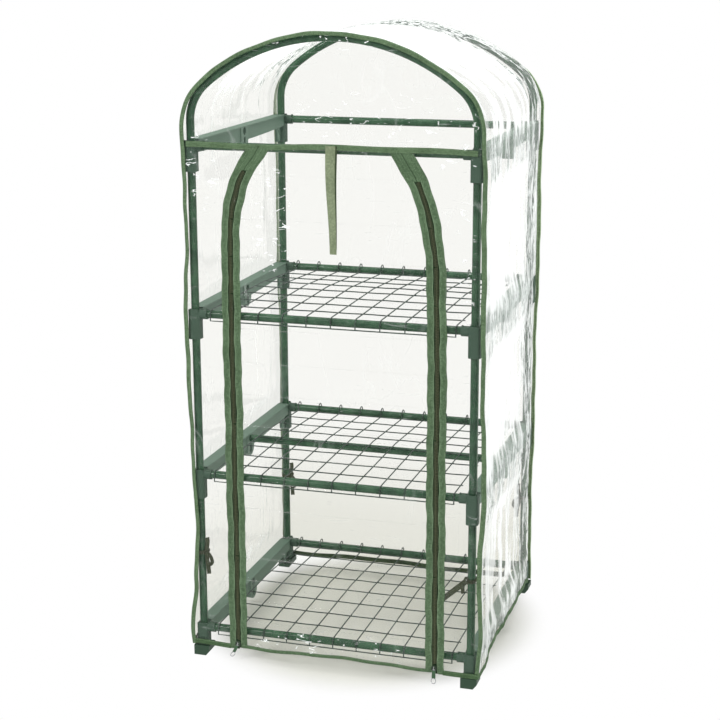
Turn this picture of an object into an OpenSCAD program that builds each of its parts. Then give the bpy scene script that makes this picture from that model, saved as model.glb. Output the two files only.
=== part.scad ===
// Small three-shelf growing frame with a fitted clear cover.
// Push-fit steel tubes and moulded side rails carry three lift-off wire shelves. The cover has a door
// between two zips that rolls up to the header, where a strap goes round the roll.
// Millimetres. The origin is on the floor at the centre of the footprint, +Z is up, the door faces -Y
// and +X is to the right of someone who faces the door.

/* [Frame] */
// Distance between the post axes, side to side
frame_w = 560; // [550:1:570]
// Distance between the post axes, front to back
frame_d = 512; // [508:1:520]
// Height of the lowest cross tubes' axis above the floor
first_level = 58; // [57:1:60]
// Distance from one level to the next
level_pitch = 328; // [326:1:330]
// Outside diameter of the steel tubes
tube_d = 16; // [15.5:0.1:16]
// Wall of the steel tubes
tube_wall = 1; // [0.8:0.1:1.5]
// Height of a hoop's highest axis point above the top level
hoop_rise = 206; // [200:1:207]
// Radius of a hoop's crown, on the axis
hoop_crown_r = 385; // [380:1:390]
// Half of the angle that a crown arc spans, for the hoops and the cover
crown_half = 40; // [39:0.5:41]

/* [Side rails] */
// Width of a rail's flat top band
rail_w = 24; // [23:0.5:25]
// Height of the rail's top above the cross tubes' axis
rail_top = 10.5; // [10.3:0.1:11]
// Thickness of the top band
band_t = 2.5; // [2:0.1:2.4]
// Thickness of a rail's side walls and ribs
web_t = 2.4; // [2:0.1:3]
// Depth of the side walls below the axis at mid length
web_mid_drop = 19; // [17:1:21]
// Depth of the side walls below the axis beside a collar
web_end_drop = 14; // [12:1:15]
// Number of ribs between a collar and the centre lobe
ribs_per_half = 3; // [1:1:4]
// Depth of a collar below the axis
collar_drop = 50; // [48:1:50]
// Corner radius of a collar
collar_r = 6; // [4:1:8]
// Reach of the cross tube socket from the post axis
socket_reach = 26; // [25:1:28]
// Outside radius of the cross tube socket
socket_r = 10.4; // [10:0.1:10.4]
// Width of the lobe at mid length
lobe_w = 40; // [36:1:44]
// Depth of the lobe below the axis
lobe_drop = 38; // [36:1:42]

/* [Feet] */
// Side of the square foot
foot_w = 33; // [32:0.5:34]
// Height of the foot
foot_h = 21; // [18:1:21]

/* [Shelves] */
// Diameter of the shelf wire
wire_d = 2.5; // [2.2:0.1:2.6]
// Number of wires that run front to back
long_wires = 11; // [9:2:11]
// Distance between those wires
long_pitch = 49; // [47:1:50]
// Number of wires that run side to side on the shelf
cross_wires = 7; // [5:1:7]
// Distance between those wires
cross_pitch = 65.5; // [60:0.5:66]
// Distance from the front tube's axis to the first of those wires
cross_inset = 50; // [48:1:54]

/* [Cover] */
// Thickness of the clear film
film_t = 0.5; // [0.4:0.05:0.5]
// Half width of the cover, outside
cover_half_w = 294.5; // [294.5:0.5:298]
// Half depth of the cover, outside
cover_half_d = 270; // [270:0.5:272]
// Height of the cover's highest point above the top level
cover_rise = 216; // [216:0.5:218]
// Radius of the cover's crown, outside
cover_crown_r = 396; // [394:1:398]
// Height of the cover's lower edge
hem_z = 22; // [20:1:24]
// Width of the binding tape and the hem
binding_w = 12; // [10:1:14]
// Thickness of the binding tape and the hem
binding_t = 2; // [1.5:0.1:2]
// Width of the header tape above the door
header_w = 11; // [10:1:12]

/* [Door] */
// Half of the distance between the zips on their straight run
zip_x = 204; // [202:1:206]
// Radius of the zips' curved upper run
zip_curve_r = 430; // [420:5:440]
// Height of that curved run
zip_curve_h = 226; // [220:1:230]
// Height of the door's lower edge
door_z = 26; // [25:1:28]
// Number of strips that stand for the flexible door, from the header down
door_strips = 17; // [17]
// Height of the first strip, which stays nearly flat
first_strip = 96; // [90:1:100]
// How much shorter each following strip is than the one above it
strip_step = 2.3; // [2.1:0.1:2.4]
// Gap at each fold line
fold_gap = 0.4; // [0.3:0.1:0.5]

/* [Zips] */
// Width of the zip tape on each side of the teeth
tape_w = 12; // [10:1:13]
// Thickness of the zip tape
tape_t = 1.3; // [1:0.1:1.4]
// Width of the channel that a slider runs in
channel_w = 14; // [13.5:0.5:14]
// Thickness of a row of teeth
teeth_t = 2.4; // [2:0.1:2.4]
// Gap between the two rows of teeth
teeth_gap = 2.6; // [2.4:0.1:2.8]
// Width of a slider
slider_w = 12; // [11:0.5:12]
// Height of a slider
slider_h = 11; // [10:0.5:11.5]
// Height of a slider's lower edge when the zip is closed
slider_z = 30.5; // [30:0.5:31]
// Length of a pull, with its ring
pull_l = 31.5; // [28:0.5:31.5]

/* [Straps and ties] */
// Width of the roll strap at the header
strap_w = 20; // [18:1:22]
// Width of the roll strap at its free end
strap_tip_w = 12; // [10:1:14]
// Thickness of the roll strap
strap_t = 1.6; // [1.2:0.1:1.8]
// Length of each of the strap's three lengths
strap_link = 66; // [62:1:66]
// Height of the ties round the posts
tie_z = 222; // [215:1:230]

/* [Hidden] */
$fn = 48;
// clearance round a tube in its socket, on the radius
fit = 0.05;
// clearance between parts that only lie beside each other
gap = 0.1;
// overlap of pieces that are fused, and overshoot of cuts
eps = 0.5;
// how far a film edge ends inside the channel, clear of the slider
edge_room = 0.5;
tube_r = tube_d / 2;
wire_r = wire_d / 2;
post_x = frame_w / 2;
post_y = frame_d / 2;
function level(n) = first_level + (n - 1) * level_pitch;
top_level = level(4);
frame_green = [0.22, 0.36, 0.28];
rail_green = [0.42, 0.52, 0.47];
foot_green = [0.16, 0.28, 0.21];
wire_grey = [0.45, 0.52, 0.49];
clear_film = [0.90, 0.94, 0.95, 0.35];
tape_green = [0.38, 0.52, 0.35];
strap_olive = [0.49, 0.57, 0.41];
tie_olive = [0.32, 0.35, 0.24];
silver = [0.78, 0.79, 0.80];

// ---- push-fit sockets ----
// wall between the sockets of the posts above and below
socket_floor = -14;
socket_ceiling = -18;
// inner end of a cross tube's socket, from the post axis
cross_socket_end = 12.2;
// length of post that stays clear of the socket's end
end_gap = 0.5;

// ---- rail details ----
collar_w = rail_w;
brace_t = 5;
brace_reach = 32;
// width of that web at its lower end
brace_foot = 7;
brace_drop = 48;
lobe_socket_depth = 12;
foot_cut_w = 8;
foot_cut_h = 11;
lobe_slot_r = 5;
lobe_slot_top = -16;
lobe_slot_low = -28;
lobe_slot_depth = 9;
wall_inset = 1.6;
wall_x = rail_w / 2 - wall_inset - web_t / 2;
scoop_r = 40;
scoop_depth = 3;

// ---- door and zip planes, counted along Y ----
film_y = -cover_half_d;
tape_y = film_y - tape_t;
teeth_y = film_y - 0.6 - teeth_t;
fold_y = teeth_y - gap;
header_z = top_level - 1;
door_top = header_z - 0.4;
zip_straight_z = top_level - zip_curve_h;
teeth_start_z = slider_z + slider_h + 1;
// the strips below the first: their summed height, the first of them, and the fold heights
curl_h = door_top - door_z - first_strip;
curl_count = door_strips - 1;
second_strip = (curl_h + strip_step * curl_count * (curl_count - 1) / 2) / curl_count;
function fold_z(n) = n == 0 ? door_top
    : door_top - first_strip - (n - 1) * second_strip + strip_step * (n - 1) * (n - 2) / 2;

// half distance between the zips at height z: straight, then an arc that leans in
function zip_at(z) = z <= zip_straight_z ? zip_x
    : zip_x - zip_curve_r + sqrt(pow(zip_curve_r, 2) - pow(z - zip_straight_z, 2));
arc_step = 16;
// heights from low to high at which an edge along the zip gets a point
function edge_heights(low, high) = concat(
    [low],
    [for (z = [zip_straight_z : arc_step : header_z]) if (z > low + 1 && z < high - 1) z],
    [high]
);

// ---- general pieces ----
function hundredth(value) = round(value * 100) / 100;

module tube(length) {
    difference() {
        cylinder(r = tube_r, h = length);
        translate([0, 0, -eps]) cylinder(r = tube_r - tube_wall, h = length + 2 * eps);
    }
}

// a swaged joint between two bent tubes, across the tube's run
module tube_joint() {
    joint_h = 1.2;
    proud = 0.15;
    translate([0, 0, -joint_h / 2]) difference() {
        cylinder(r = tube_r + proud, h = joint_h);
        translate([0, 0, -eps]) cylinder(r = tube_r - tube_wall - proud, h = joint_h + 2 * eps);
    }
}

// a bent tube in the XZ plane, from angle a0 over a turn, round the origin
module tube_arc(radius, a0, turn) {
    rotate([90, 0, 0]) rotate([0, 0, a0]) rotate_extrude(angle = turn, $fn = 96)
        translate([radius, 0]) difference() {
            circle(r = tube_r);
            circle(r = tube_r - tube_wall);
        }
}

module rounded_square(side, radius) {
    inner = side - 2 * radius;
    union() {
        square([side, inner], center = true);
        square([inner, side], center = true);
        for (sx = [-1, 1]) for (sy = [-1, 1])
            translate([sx * inner / 2, sy * inner / 2]) circle(r = radius);
    }
}

// a strip between two offsets from the zip line, on the right side, drawn as x and z
module zip_band(inner, outer, low, high) {
    heights = edge_heights(low, high);
    count = len(heights);
    polygon(concat(
        [for (z = heights) [zip_at(z) + inner, z]],
        [for (i = [count - 1 : -1 : 0]) [zip_at(heights[i]) + outer, heights[i]]]
    ));
}

// the area between the zips, widened by margin on both sides
module between_zips(margin, low, high) {
    intersection() {
        zip_band(-3 * zip_x, margin, low, high);
        mirror([1, 0]) zip_band(-3 * zip_x, margin, low, high);
    }
}

// a flat drawing in x and z, given thickness along Y from y0 to y1
module plate(y0, y1) {
    translate([0, y1, 0]) rotate([90, 0, 0]) linear_extrude(y1 - y0) children();
}

// ---- side rails ----
module brace() {
    // concave web under the rail beside the collar
    rotate([90, 0, 90]) translate([0, 0, -brace_t / 2]) linear_extrude(brace_t) polygon(concat(
        [[0, -web_end_drop + 2]],
        [for (a = [0 : 15 : 90])
            [brace_foot + (brace_reach - brace_foot) * (1 - sin(a)),
             2 - web_end_drop - (brace_drop - web_end_drop) * (1 - cos(a))]],
        [[0, 2 - brace_drop]]
    ));
}

module collar_outer() {
    translate([0, 0, -collar_drop]) linear_extrude(collar_drop + rail_top)
        rounded_square(collar_w, collar_r);
    rotate([0, 90, 0]) cylinder(r = socket_r, h = socket_reach);
}

module collar_bores() {
    translate([0, 0, socket_floor]) cylinder(r = tube_r + fit, h = rail_top - socket_floor + eps);
    translate([0, 0, -collar_drop - eps])
        cylinder(r = tube_r + fit, h = collar_drop + socket_ceiling + eps);
    translate([cross_socket_end, 0, 0]) rotate([0, 90, 0])
        cylinder(r = tube_r + fit, h = socket_reach);
    // scoop across the top rim, where the upper post enters
    translate([0, 0, rail_top + scoop_r - scoop_depth]) rotate([0, 90, 0]) intersection() {
        cylinder(r = scoop_r, h = 2 * collar_w, center = true, $fn = 96);
        translate([scoop_r, 0, 0]) cube([scoop_r, collar_w - 2, 3 * collar_w], center = true);
    }
}

// one of the two side walls that hang from the band: its lower edge sags towards mid length
module rail_wall() {
    half = post_y - collar_w / 2 + 1;
    steps = 8;
    rotate([90, 0, 90]) translate([0, 0, -web_t / 2]) linear_extrude(web_t) polygon(concat(
        [[half, rail_top - band_t / 2], [-half, rail_top - band_t / 2]],
        [for (i = [-steps : steps]) let (t = i / steps)
            [t * half, -web_end_drop - (web_mid_drop - web_end_drop) * cos(90 * t)]]
    ));
}

// cross ribs between the two side walls
module rail_ribs() {
    span = post_y - collar_w / 2 - lobe_w / 2;
    rib_h = web_end_drop + rail_top - band_t / 2;
    for (side = [-1, 1]) for (i = [1 : ribs_per_half])
        translate([-wall_x, side * (lobe_w / 2 + i * span / (ribs_per_half + 1)) - web_t / 2,
            -web_end_drop])
            cube([2 * wall_x, web_t, rib_h]);
}

module lobe() {
    // hanging boss with a rounded lower end
    round_r = lobe_w / 2;
    translate([-rail_w / 2, 0, 0]) rotate([90, 0, 90]) linear_extrude(rail_w) union() {
        translate([-round_r, -lobe_drop + round_r])
            square([lobe_w, lobe_drop - round_r + rail_top - band_t / 2]);
        translate([0, -lobe_drop + round_r]) circle(r = round_r);
    }
}

// upright slot with round ends below the socket in the lobe
module lobe_slot() {
    translate([rail_w / 2 - lobe_slot_depth, 0, 0]) {
        for (z = [lobe_slot_top, lobe_slot_low]) translate([0, 0, z]) rotate([0, 90, 0])
            cylinder(r = lobe_slot_r, h = lobe_slot_depth + eps);
        translate([0, -lobe_slot_r, lobe_slot_low])
            cube([lobe_slot_depth + eps, 2 * lobe_slot_r, lobe_slot_top - lobe_slot_low]);
    }
}

// a rail for the left side: its inner face looks towards +X
module side_rail() {
    difference() {
        union() {
            translate([-rail_w / 2, -post_y, rail_top - band_t]) cube([rail_w, frame_d, band_t]);
            for (side = [-1, 1]) translate([side * wall_x, 0, 0]) rail_wall();
            rail_ribs();
            lobe();
            for (end = [0, 1]) mirror([0, end, 0]) translate([0, -post_y, 0]) {
                collar_outer();
                translate([0, collar_w / 2 - eps, 0]) brace();
            }
        }
        for (end = [0, 1]) mirror([0, end, 0]) translate([0, -post_y, 0]) collar_bores();
        translate([rail_w / 2 - lobe_socket_depth, 0, 0]) rotate([0, 90, 0])
            cylinder(r = tube_r + fit, h = lobe_socket_depth + eps);
        lobe_slot();
    }
}

module rail_at(n, right) {
    color(rail_green) mirror([right ? 1 : 0, 0, 0]) translate([-post_x, 0, level(n)]) side_rail();
}

// ---- feet ----
module foot() {
    // cup round the lower end of a collar, with the lower right edge cut away
    base = first_level - collar_drop;
    difference() {
        translate([-foot_w / 2, -foot_w / 2, 0]) cube([foot_w, foot_w, foot_h]);
        translate([0, 0, base]) linear_extrude(foot_h) rounded_square(collar_w + 2 * gap, collar_r);
        translate([0, 0, base]) translate([-brace_t / 2 - gap, 0, 0])
            cube([brace_t + 2 * gap, foot_w, foot_h]);
        plate(-foot_w, foot_w) polygon([
            [foot_w / 2 - foot_cut_w, -eps], [foot_w / 2 + 1, -eps], [foot_w / 2 + 1, foot_cut_h]
        ]);
    }
}

module feet() {
    color(foot_green) for (x = [-post_x, post_x]) for (my = [0, 1])
        mirror([0, my, 0]) translate([x, -post_y, 0]) foot();
}

// ---- tubes ----
module posts(n) {
    low = level(n) + socket_floor + end_gap;
    high = level(n + 1) + socket_ceiling - end_gap;
    color(frame_green) for (sx = [-1, 1]) for (sy = [-1, 1])
        translate([sx * post_x, sy * post_y, low]) tube(high - low);
}

module cross_tube(n, y) {
    half = post_x - cross_socket_end - end_gap;
    color(frame_green) translate([-half, y, level(n)]) rotate([0, 90, 0]) tube(2 * half);
}

module centre_tube(n) {
    half = post_x - rail_w / 2 + lobe_socket_depth - end_gap;
    color(frame_green) translate([-half, 0, level(n)]) rotate([0, 90, 0]) tube(2 * half);
}

module hoop(y) {
    crown_sin = sin(crown_half);
    corner_r = hundredth((post_x - hoop_crown_r * crown_sin) / (1 - crown_sin));
    crown_z = top_level + hoop_rise - hoop_crown_r;
    corner_z = hundredth(crown_z + (hoop_crown_r - corner_r) * cos(crown_half));
    leg_z = top_level + socket_floor + end_gap;
    color(frame_green) translate([0, y, 0]) {
        translate([0, 0, crown_z]) tube_arc(hoop_crown_r, 90 - crown_half, 2 * crown_half);
        for (side = [0, 1]) mirror([side, 0, 0]) {
            translate([post_x - corner_r, 0, corner_z]) {
                tube_arc(corner_r, 0, 90 - crown_half);
                rotate([0, crown_half - 90, 0]) translate([corner_r, 0, 0]) tube_joint();
            }
            translate([post_x, 0, leg_z]) tube(corner_z - leg_z);
        }
    }
}

// ---- wire shelves ----
// The long wires hook down over the front tube, run flat to the middle, dip a little to the rear
// and loop up over the rear tube. Their section is square, and a side wire's is eight-sided.
hook_r = 10;
wire_top = tube_r + 0.3 + wire_r;
hook_z = wire_top - hook_r;
front_drop = 11;
bend_y = 20;
loop_r = 10.5;
loop_z = 3;
rear_dip = 4;
rear_y = post_y - loop_r;
hook_step = 15;
loop_step = 20;

// points of a long wire's centre line, as y and z
wire_path = concat(
    [[-post_y - hook_r, -front_drop]],
    [for (a = [180 : -hook_step : 90]) [-post_y + hook_r * cos(a), hook_z + hook_r * sin(a)]],
    [[bend_y, wire_top], [rear_y, -rear_dip]],
    [for (a = [180 : -loop_step : 0]) [post_y + loop_r * cos(a), loop_z + loop_r * sin(a)]],
    [[post_y + loop_r, -rear_dip]]
);
wire_last = len(wire_path) - 1;

function unit(v) = v / norm(v);
function across(v) = [-v[1], v[0]];
function step_before(i) = unit(wire_path[max(i, 1)] - wire_path[max(i, 1) - 1]);
function step_after(i) = unit(wire_path[min(i, wire_last - 1) + 1] - wire_path[min(i, wire_last - 1)]);

// a point of the wire's edge beside path point i: side is 1 or -1
function edge_point(i, side) = let (normal = across(unit(step_before(i) + step_after(i))))
    wire_path[i] + side * wire_r / (normal * across(step_after(i))) * normal;

// height of a long wire at depth y, between the two tubes
function wire_z(y) = y < bend_y ? wire_top
    : wire_top - (wire_top + rear_dip) * (y - bend_y) / (rear_y - bend_y);

module long_wire() {
    rotate([90, 0, 90]) translate([0, 0, -wire_r]) linear_extrude(wire_d) polygon(concat(
        [for (i = [0 : wire_last]) edge_point(i, 1)],
        [for (i = [wire_last : -1 : 0]) edge_point(i, -1)]
    ));
}

module side_wire(y, z, reach) {
    translate([-reach, y, z]) rotate([0, 90, 0]) rotate([0, 0, 22.5])
        cylinder(r = wire_r, h = 2 * reach, $fn = 8);
}

module shelf(n) {
    // the welds let a side wire sink this far into the long wires
    weld = 1;
    outer = (long_wires - 1) / 2 * long_pitch;
    color(wire_grey) translate([0, 0, level(n)]) {
        for (i = [0 : long_wires - 1]) translate([i * long_pitch - outer, 0, 0]) long_wire();
        for (i = [0 : cross_wires - 1]) let (y = -post_y + cross_inset + i * cross_pitch)
            side_wire(y, wire_z(y) - wire_d + weld, outer + 4);
        side_wire(-post_y - hook_r, -front_drop, outer);
        side_wire(rear_y - wire_r, -rear_dip, outer + 4);
    }
}

// ---- cover outline ----
outline_sin = sin(crown_half);
outline_corner_r = (cover_half_w - cover_crown_r * outline_sin) / (1 - outline_sin);
outline_crown_z = top_level + cover_rise - cover_crown_r;
outline_corner_z = outline_crown_z + (cover_crown_r - outline_corner_r) * cos(crown_half);
corner_steps = 8;
crown_steps = 20;

// points of the arched outline, drawn inwards by inset, from the lower left over the top
function outline(inset, low) = concat(
    [[-cover_half_w + inset, low]],
    [for (i = [0 : corner_steps]) let (a = 180 - i / corner_steps * (90 - crown_half))
        [-(cover_half_w - outline_corner_r) + (outline_corner_r - inset) * cos(a),
            outline_corner_z + (outline_corner_r - inset) * sin(a)]],
    [for (i = [1 : crown_steps - 1]) let (a = 90 + crown_half - i / crown_steps * 2 * crown_half)
        [(cover_crown_r - inset) * cos(a), outline_crown_z + (cover_crown_r - inset) * sin(a)]],
    [for (i = [0 : corner_steps]) let (a = 90 - crown_half - i / corner_steps * (90 - crown_half))
        [cover_half_w - outline_corner_r + (outline_corner_r - inset) * cos(a),
            outline_corner_z + (outline_corner_r - inset) * sin(a)]],
    [[cover_half_w - inset, low]]
);

module outline_band(width, low) {
    difference() {
        polygon(outline(0, low));
        polygon(outline(width, low - eps));
    }
}

// ---- film ----
module film_wrap() {
    inner_y = cover_half_d - film_t - gap;
    color(clear_film) plate(-inner_y, inner_y) outline_band(film_t, hem_z);
}

module film_back() {
    color(clear_film) plate(cover_half_d - film_t, cover_half_d) polygon(outline(0, hem_z));
}

module film_front() {
    // arched panel with side strips, open between the zips and below the header
    color(clear_film) plate(film_y, film_y + film_t) difference() {
        polygon(outline(0, hem_z));
        between_zips(channel_w / 2 - edge_room, hem_z - eps, header_z);
    }
}

// ---- bindings, hem and header ----
module binding(y0) {
    color(tape_green) plate(y0, y0 + binding_t) outline_band(binding_w, hem_z + binding_w + gap);
}

module hem() {
    // ring round the cover's lower edge, open at the front between the zips
    side = cover_half_w + gap;
    front = cover_half_d + gap;
    opening = zip_x + channel_w / 2 + tape_w + gap;
    color(tape_green) translate([0, 0, hem_z]) linear_extrude(binding_w) difference() {
        square([2 * (side + binding_t), 2 * (front + binding_t)], center = true);
        square([2 * side, 2 * front], center = true);
        translate([-opening, -front - 2 * binding_t]) square([2 * opening, 3 * binding_t]);
    }
}

module header_tape() {
    half = cover_half_w - binding_w - gap;
    color(tape_green) translate([-half, film_y - gap - binding_t, header_z])
        cube([2 * half, binding_t, header_w]);
}

// ---- zips ----
// the fixed half of the right zip: tape outside the channel, row of teeth inside it
module zip_half(right) {
    channel = channel_w / 2;
    color(tape_green) mirror([right ? 0 : 1, 0, 0]) union() {
        plate(tape_y - gap, film_y - gap) zip_band(channel, channel + tape_w, hem_z, header_z - gap);
        plate(teeth_y, teeth_y + teeth_t)
            zip_band(teeth_gap / 2, channel + eps, hem_z, header_z - gap);
    }
}

slider_front_y = teeth_y - 0.6;
slider_plate_t = 1.5;
slider_back_y = film_y + 0.1;
slider_back_t = 1.2;

// the slider holds the teeth between two plates that a post joins
module slider(right) {
    middle = right ? zip_x : -zip_x;
    post_w = teeth_gap - 1;
    color(silver) translate([middle, 0, slider_z]) union() {
        translate([-slider_w / 2, slider_front_y - slider_plate_t, 0])
            cube([slider_w, slider_plate_t, slider_h]);
        translate([-slider_w / 2, slider_back_y, 0]) cube([slider_w, slider_back_t, slider_h]);
        translate([-post_w / 2, slider_front_y - eps, slider_h - 4])
            cube([post_w, slider_back_y - slider_front_y + 2 * eps, 4]);
        slider_lug();
    }
}

pull_y = slider_front_y - slider_plate_t - 1.9;
pull_pivot_z = slider_z + 4.3;
pull_w = 8;
pull_t = 1.5;
lug_w = 2.4;
lug_h = 4.6;
pin_r = 0.6;

// ear on the slider with a bore for the pull's pin
module slider_lug() {
    depth = 3.5;
    difference() {
        translate([-lug_w / 2, slider_front_y - slider_plate_t - depth, pull_pivot_z - slider_z - lug_h / 2])
            cube([lug_w, depth + eps, lug_h]);
        translate([-lug_w, pull_y, pull_pivot_z - slider_z]) rotate([0, 90, 0])
            cylinder(r = pin_r + fit, h = 2 * lug_w);
    }
}

// a forked tab with a pin through the slider's lug, and a ring at its end
module pull(right) {
    middle = right ? zip_x : -zip_x;
    ring_r = 5.5;
    fork_top = 1.2;
    fork_low = 3.2;
    tab_low = -pull_l + 2 * ring_r - 2;
    color(silver) translate([middle, pull_y, pull_pivot_z]) union() {
        difference() {
            union() {
                translate([-pull_w / 2, -pull_t / 2, tab_low]) cube([pull_w, pull_t, fork_top - tab_low]);
                translate([0, pull_t / 2, -pull_l + ring_r]) rotate([90, 0, 0])
                    cylinder(r = ring_r, h = pull_t);
            }
            translate([-lug_w / 2 - 0.4, -pull_t, -fork_low])
                cube([lug_w + 0.8, 2 * pull_t, fork_low + fork_top + eps]);
            translate([0, pull_t, -pull_l + ring_r]) rotate([90, 0, 0])
                cylinder(r = ring_r - 1.6, h = 2 * pull_t);
        }
        translate([-pull_w / 2, 0, 0]) rotate([0, 90, 0]) cylinder(r = pin_r, h = pull_w);
    }
}

// ---- roll strap ----
strap_y = film_y - gap - binding_t - gap;
strap_top = top_level + 9;

// strap length n of three, from the header down, tapering to the free end
module strap(n) {
    high = strap_top - (n - 1) * strap_link - fold_gap / 2;
    low = strap_top - n * strap_link + fold_gap / 2;
    full = 3 * strap_link;
    function width_at(z) = strap_tip_w + (strap_w - strap_tip_w) * (z - strap_top + full) / full;
    color(strap_olive) plate(strap_y - strap_t, strap_y) polygon([
        [-width_at(low) / 2, low], [width_at(low) / 2, low],
        [width_at(high) / 2, high], [-width_at(high) / 2, high]
    ]);
}

// ---- ties ----
module tie() {
    // a loop round the post with a knot and two tails on the inner side
    loop_in = tube_r + 0.3;
    loop_h = 9;
    difference() {
        union() {
            cylinder(r = loop_in + 1.4, h = loop_h);
            translate([loop_in, -3, -2]) cube([7, 6, loop_h + 4]);
            translate([loop_in + 3, -4, -62]) cube([2, 5, 70]);
        }
        translate([0, 0, -70]) cylinder(r = loop_in, h = 100);
    }
}

module ties() {
    color(tie_olive) for (mx = [0, 1]) for (my = [0, 1])
        mirror([mx, 0, 0]) mirror([0, my, 0]) translate([-post_x, -post_y, tie_z]) tie();
}

// ---- door ----
// one strip of the door: film, the inner halves of both zips, and the hem on the last strip
module door_strip(n) {
    high = fold_z(n - 1) - fold_gap / 2;
    low = fold_z(n) + fold_gap / 2;
    channel = channel_w / 2;
    color(clear_film) union() {
        plate(film_y, film_y + film_t) between_zips(-channel + edge_room, low, high);
        for (side = [0, 1]) mirror([side, 0, 0]) {
            plate(tape_y, film_y + gap) zip_band(-channel - tape_w, -channel, low, high);
            plate(teeth_y, teeth_y + teeth_t)
                zip_band(-channel - eps, -teeth_gap / 2, max(low, teeth_start_z), high);
        }
        if (n == door_strips) translate([-zip_x + channel + eps, film_y - binding_t, low])
            cube([2 * (zip_x - channel - eps), binding_t + gap, binding_w]);
    }
}

rail_at(1, false);  // rail_left_1
rail_at(2, false);  // rail_left_2
rail_at(3, false);  // rail_left_3
rail_at(4, false);  // rail_left_4
rail_at(1, true);  // rail_right_1
rail_at(2, true);  // rail_right_2
rail_at(3, true);  // rail_right_3
rail_at(4, true);  // rail_right_4
feet();
posts(1);  // posts_lower
posts(2);  // posts_middle
posts(3);  // posts_upper
hoop(-post_y);  // hoop_front
hoop(post_y);  // hoop_rear
cross_tube(1, -post_y);  // tube_front_1
cross_tube(2, -post_y);  // tube_front_2
cross_tube(3, -post_y);  // tube_front_3
cross_tube(4, -post_y);  // tube_front_4
cross_tube(1, post_y);  // tube_rear_1
cross_tube(2, post_y);  // tube_rear_2
cross_tube(3, post_y);  // tube_rear_3
cross_tube(4, post_y);  // tube_rear_4
centre_tube(2);  // tube_centre
shelf(1);  // shelf_lower
shelf(2);  // shelf_middle
shelf(3);  // shelf_upper
film_wrap();
film_back();
film_front();
binding(film_y - gap - binding_t);  // binding_front
binding(cover_half_d + gap);  // binding_rear
hem();
header_tape();
zip_half(false);  // zip_left
zip_half(true);  // zip_right
slider(false);  // slider_left
slider(true);  // slider_right
pull(false);  // pull_left
pull(true);  // pull_right
strap(1);  // strap_upper
strap(2);  // strap_middle
strap(3);  // strap_lower
ties();
door_strip(1);  // door_01
door_strip(2);  // door_02
door_strip(3);  // door_03
door_strip(4);  // door_04
door_strip(5);  // door_05
door_strip(6);  // door_06
door_strip(7);  // door_07
door_strip(8);  // door_08
door_strip(9);  // door_09
door_strip(10);  // door_10
door_strip(11);  // door_11
door_strip(12);  // door_12
door_strip(13);  // door_13
door_strip(14);  // door_14
door_strip(15);  // door_15
door_strip(16);  // door_16
door_strip(17);  // door_17
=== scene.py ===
"""Looks of a small framed plant house with a clear zipped cover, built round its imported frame.

Metres, in the shared frame: +Z up, the door faces -Y, the floor is z = 0.
"""

import math

import bpy
import numpy as np
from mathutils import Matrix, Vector, noise


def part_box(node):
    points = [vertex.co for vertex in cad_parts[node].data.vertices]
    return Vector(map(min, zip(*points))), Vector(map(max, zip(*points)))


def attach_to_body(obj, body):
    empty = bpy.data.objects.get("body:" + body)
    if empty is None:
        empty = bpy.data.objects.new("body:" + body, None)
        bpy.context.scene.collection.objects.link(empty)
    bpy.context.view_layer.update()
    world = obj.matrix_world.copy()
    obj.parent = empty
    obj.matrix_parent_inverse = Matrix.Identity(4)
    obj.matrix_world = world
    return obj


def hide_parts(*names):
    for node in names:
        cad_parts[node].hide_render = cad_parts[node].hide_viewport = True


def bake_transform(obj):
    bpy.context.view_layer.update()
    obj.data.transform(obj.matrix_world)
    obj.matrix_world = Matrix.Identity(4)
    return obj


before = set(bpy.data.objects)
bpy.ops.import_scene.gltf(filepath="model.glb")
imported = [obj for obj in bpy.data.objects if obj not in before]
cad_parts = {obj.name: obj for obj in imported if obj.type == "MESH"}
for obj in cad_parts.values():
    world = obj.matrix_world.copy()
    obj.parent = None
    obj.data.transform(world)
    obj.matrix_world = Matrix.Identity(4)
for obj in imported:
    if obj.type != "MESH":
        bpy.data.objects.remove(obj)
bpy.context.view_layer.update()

MM = 0.001
SIDES = ((-1, "left"), (1, "right"))
FORWARD, BACKWARD, UP = Vector((0, -1, 0)), Vector((0, 1, 0)), Vector((0, 0, 1))


# ---------------------------------------------------------------- places from the frame
def middle(node_name):
    low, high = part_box(node_name)
    return (low + high) / 2


LEVELS = [middle(f"tube_front_{n}").z for n in range(1, 5)]
tube_low, tube_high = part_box("tube_front_1")
TUBE_R = (tube_high.z - tube_low.z) / 2
posts_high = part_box("posts_lower")[1]
POST_X, POST_Y = posts_high.x - TUBE_R, posts_high.y - TUBE_R
front_low, front_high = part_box("film_front")
COVER_W, COVER_TOP = front_high.x, front_high.z
FRONT_Y, HEM_Z = front_low.y, front_low.z
REAR_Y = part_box("film_back")[1].y
HEADER_Z, HEADER_TOP = (corner.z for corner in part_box("header_tape"))
DOOR_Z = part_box("door_17")[0].z
SLIDER = middle("slider_right")
ZIP_X = SLIDER.x

# the cover's and the zips' own shapes
CROWN_R, CROWN_HALF = 396 * MM, math.radians(40)  # the arch's crown: radius and half its angle
ZIP_ARC_R, ZIP_ARC_Z = 430 * MM, LEVELS[3] - 226 * MM  # a zip's curved top: radius and where it begins
FLAP_LOW = {-1: 1000 * MM, 1: 991 * MM}  # where the flap over a zip's teeth ends, left and right
CHANNEL = 5.5 * MM  # half the width between a zip's two edge tapes
TAPE_W = 13.5 * MM  # an edge tape's width
FILM_T = 0.35 * MM
FILM_EDGE = CHANNEL + 2 * MM  # the film ends this far from a zip's middle, under the tape
FILM_Y = FRONT_Y + 0.3 * MM


# ---------------------------------------------------------------- small mathematics
def lerp(a, b, t):
    return a + (b - a) * t


def step(t):
    t = min(1.0, max(0.0, t))
    return t * t * (3 - 2 * t)


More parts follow.
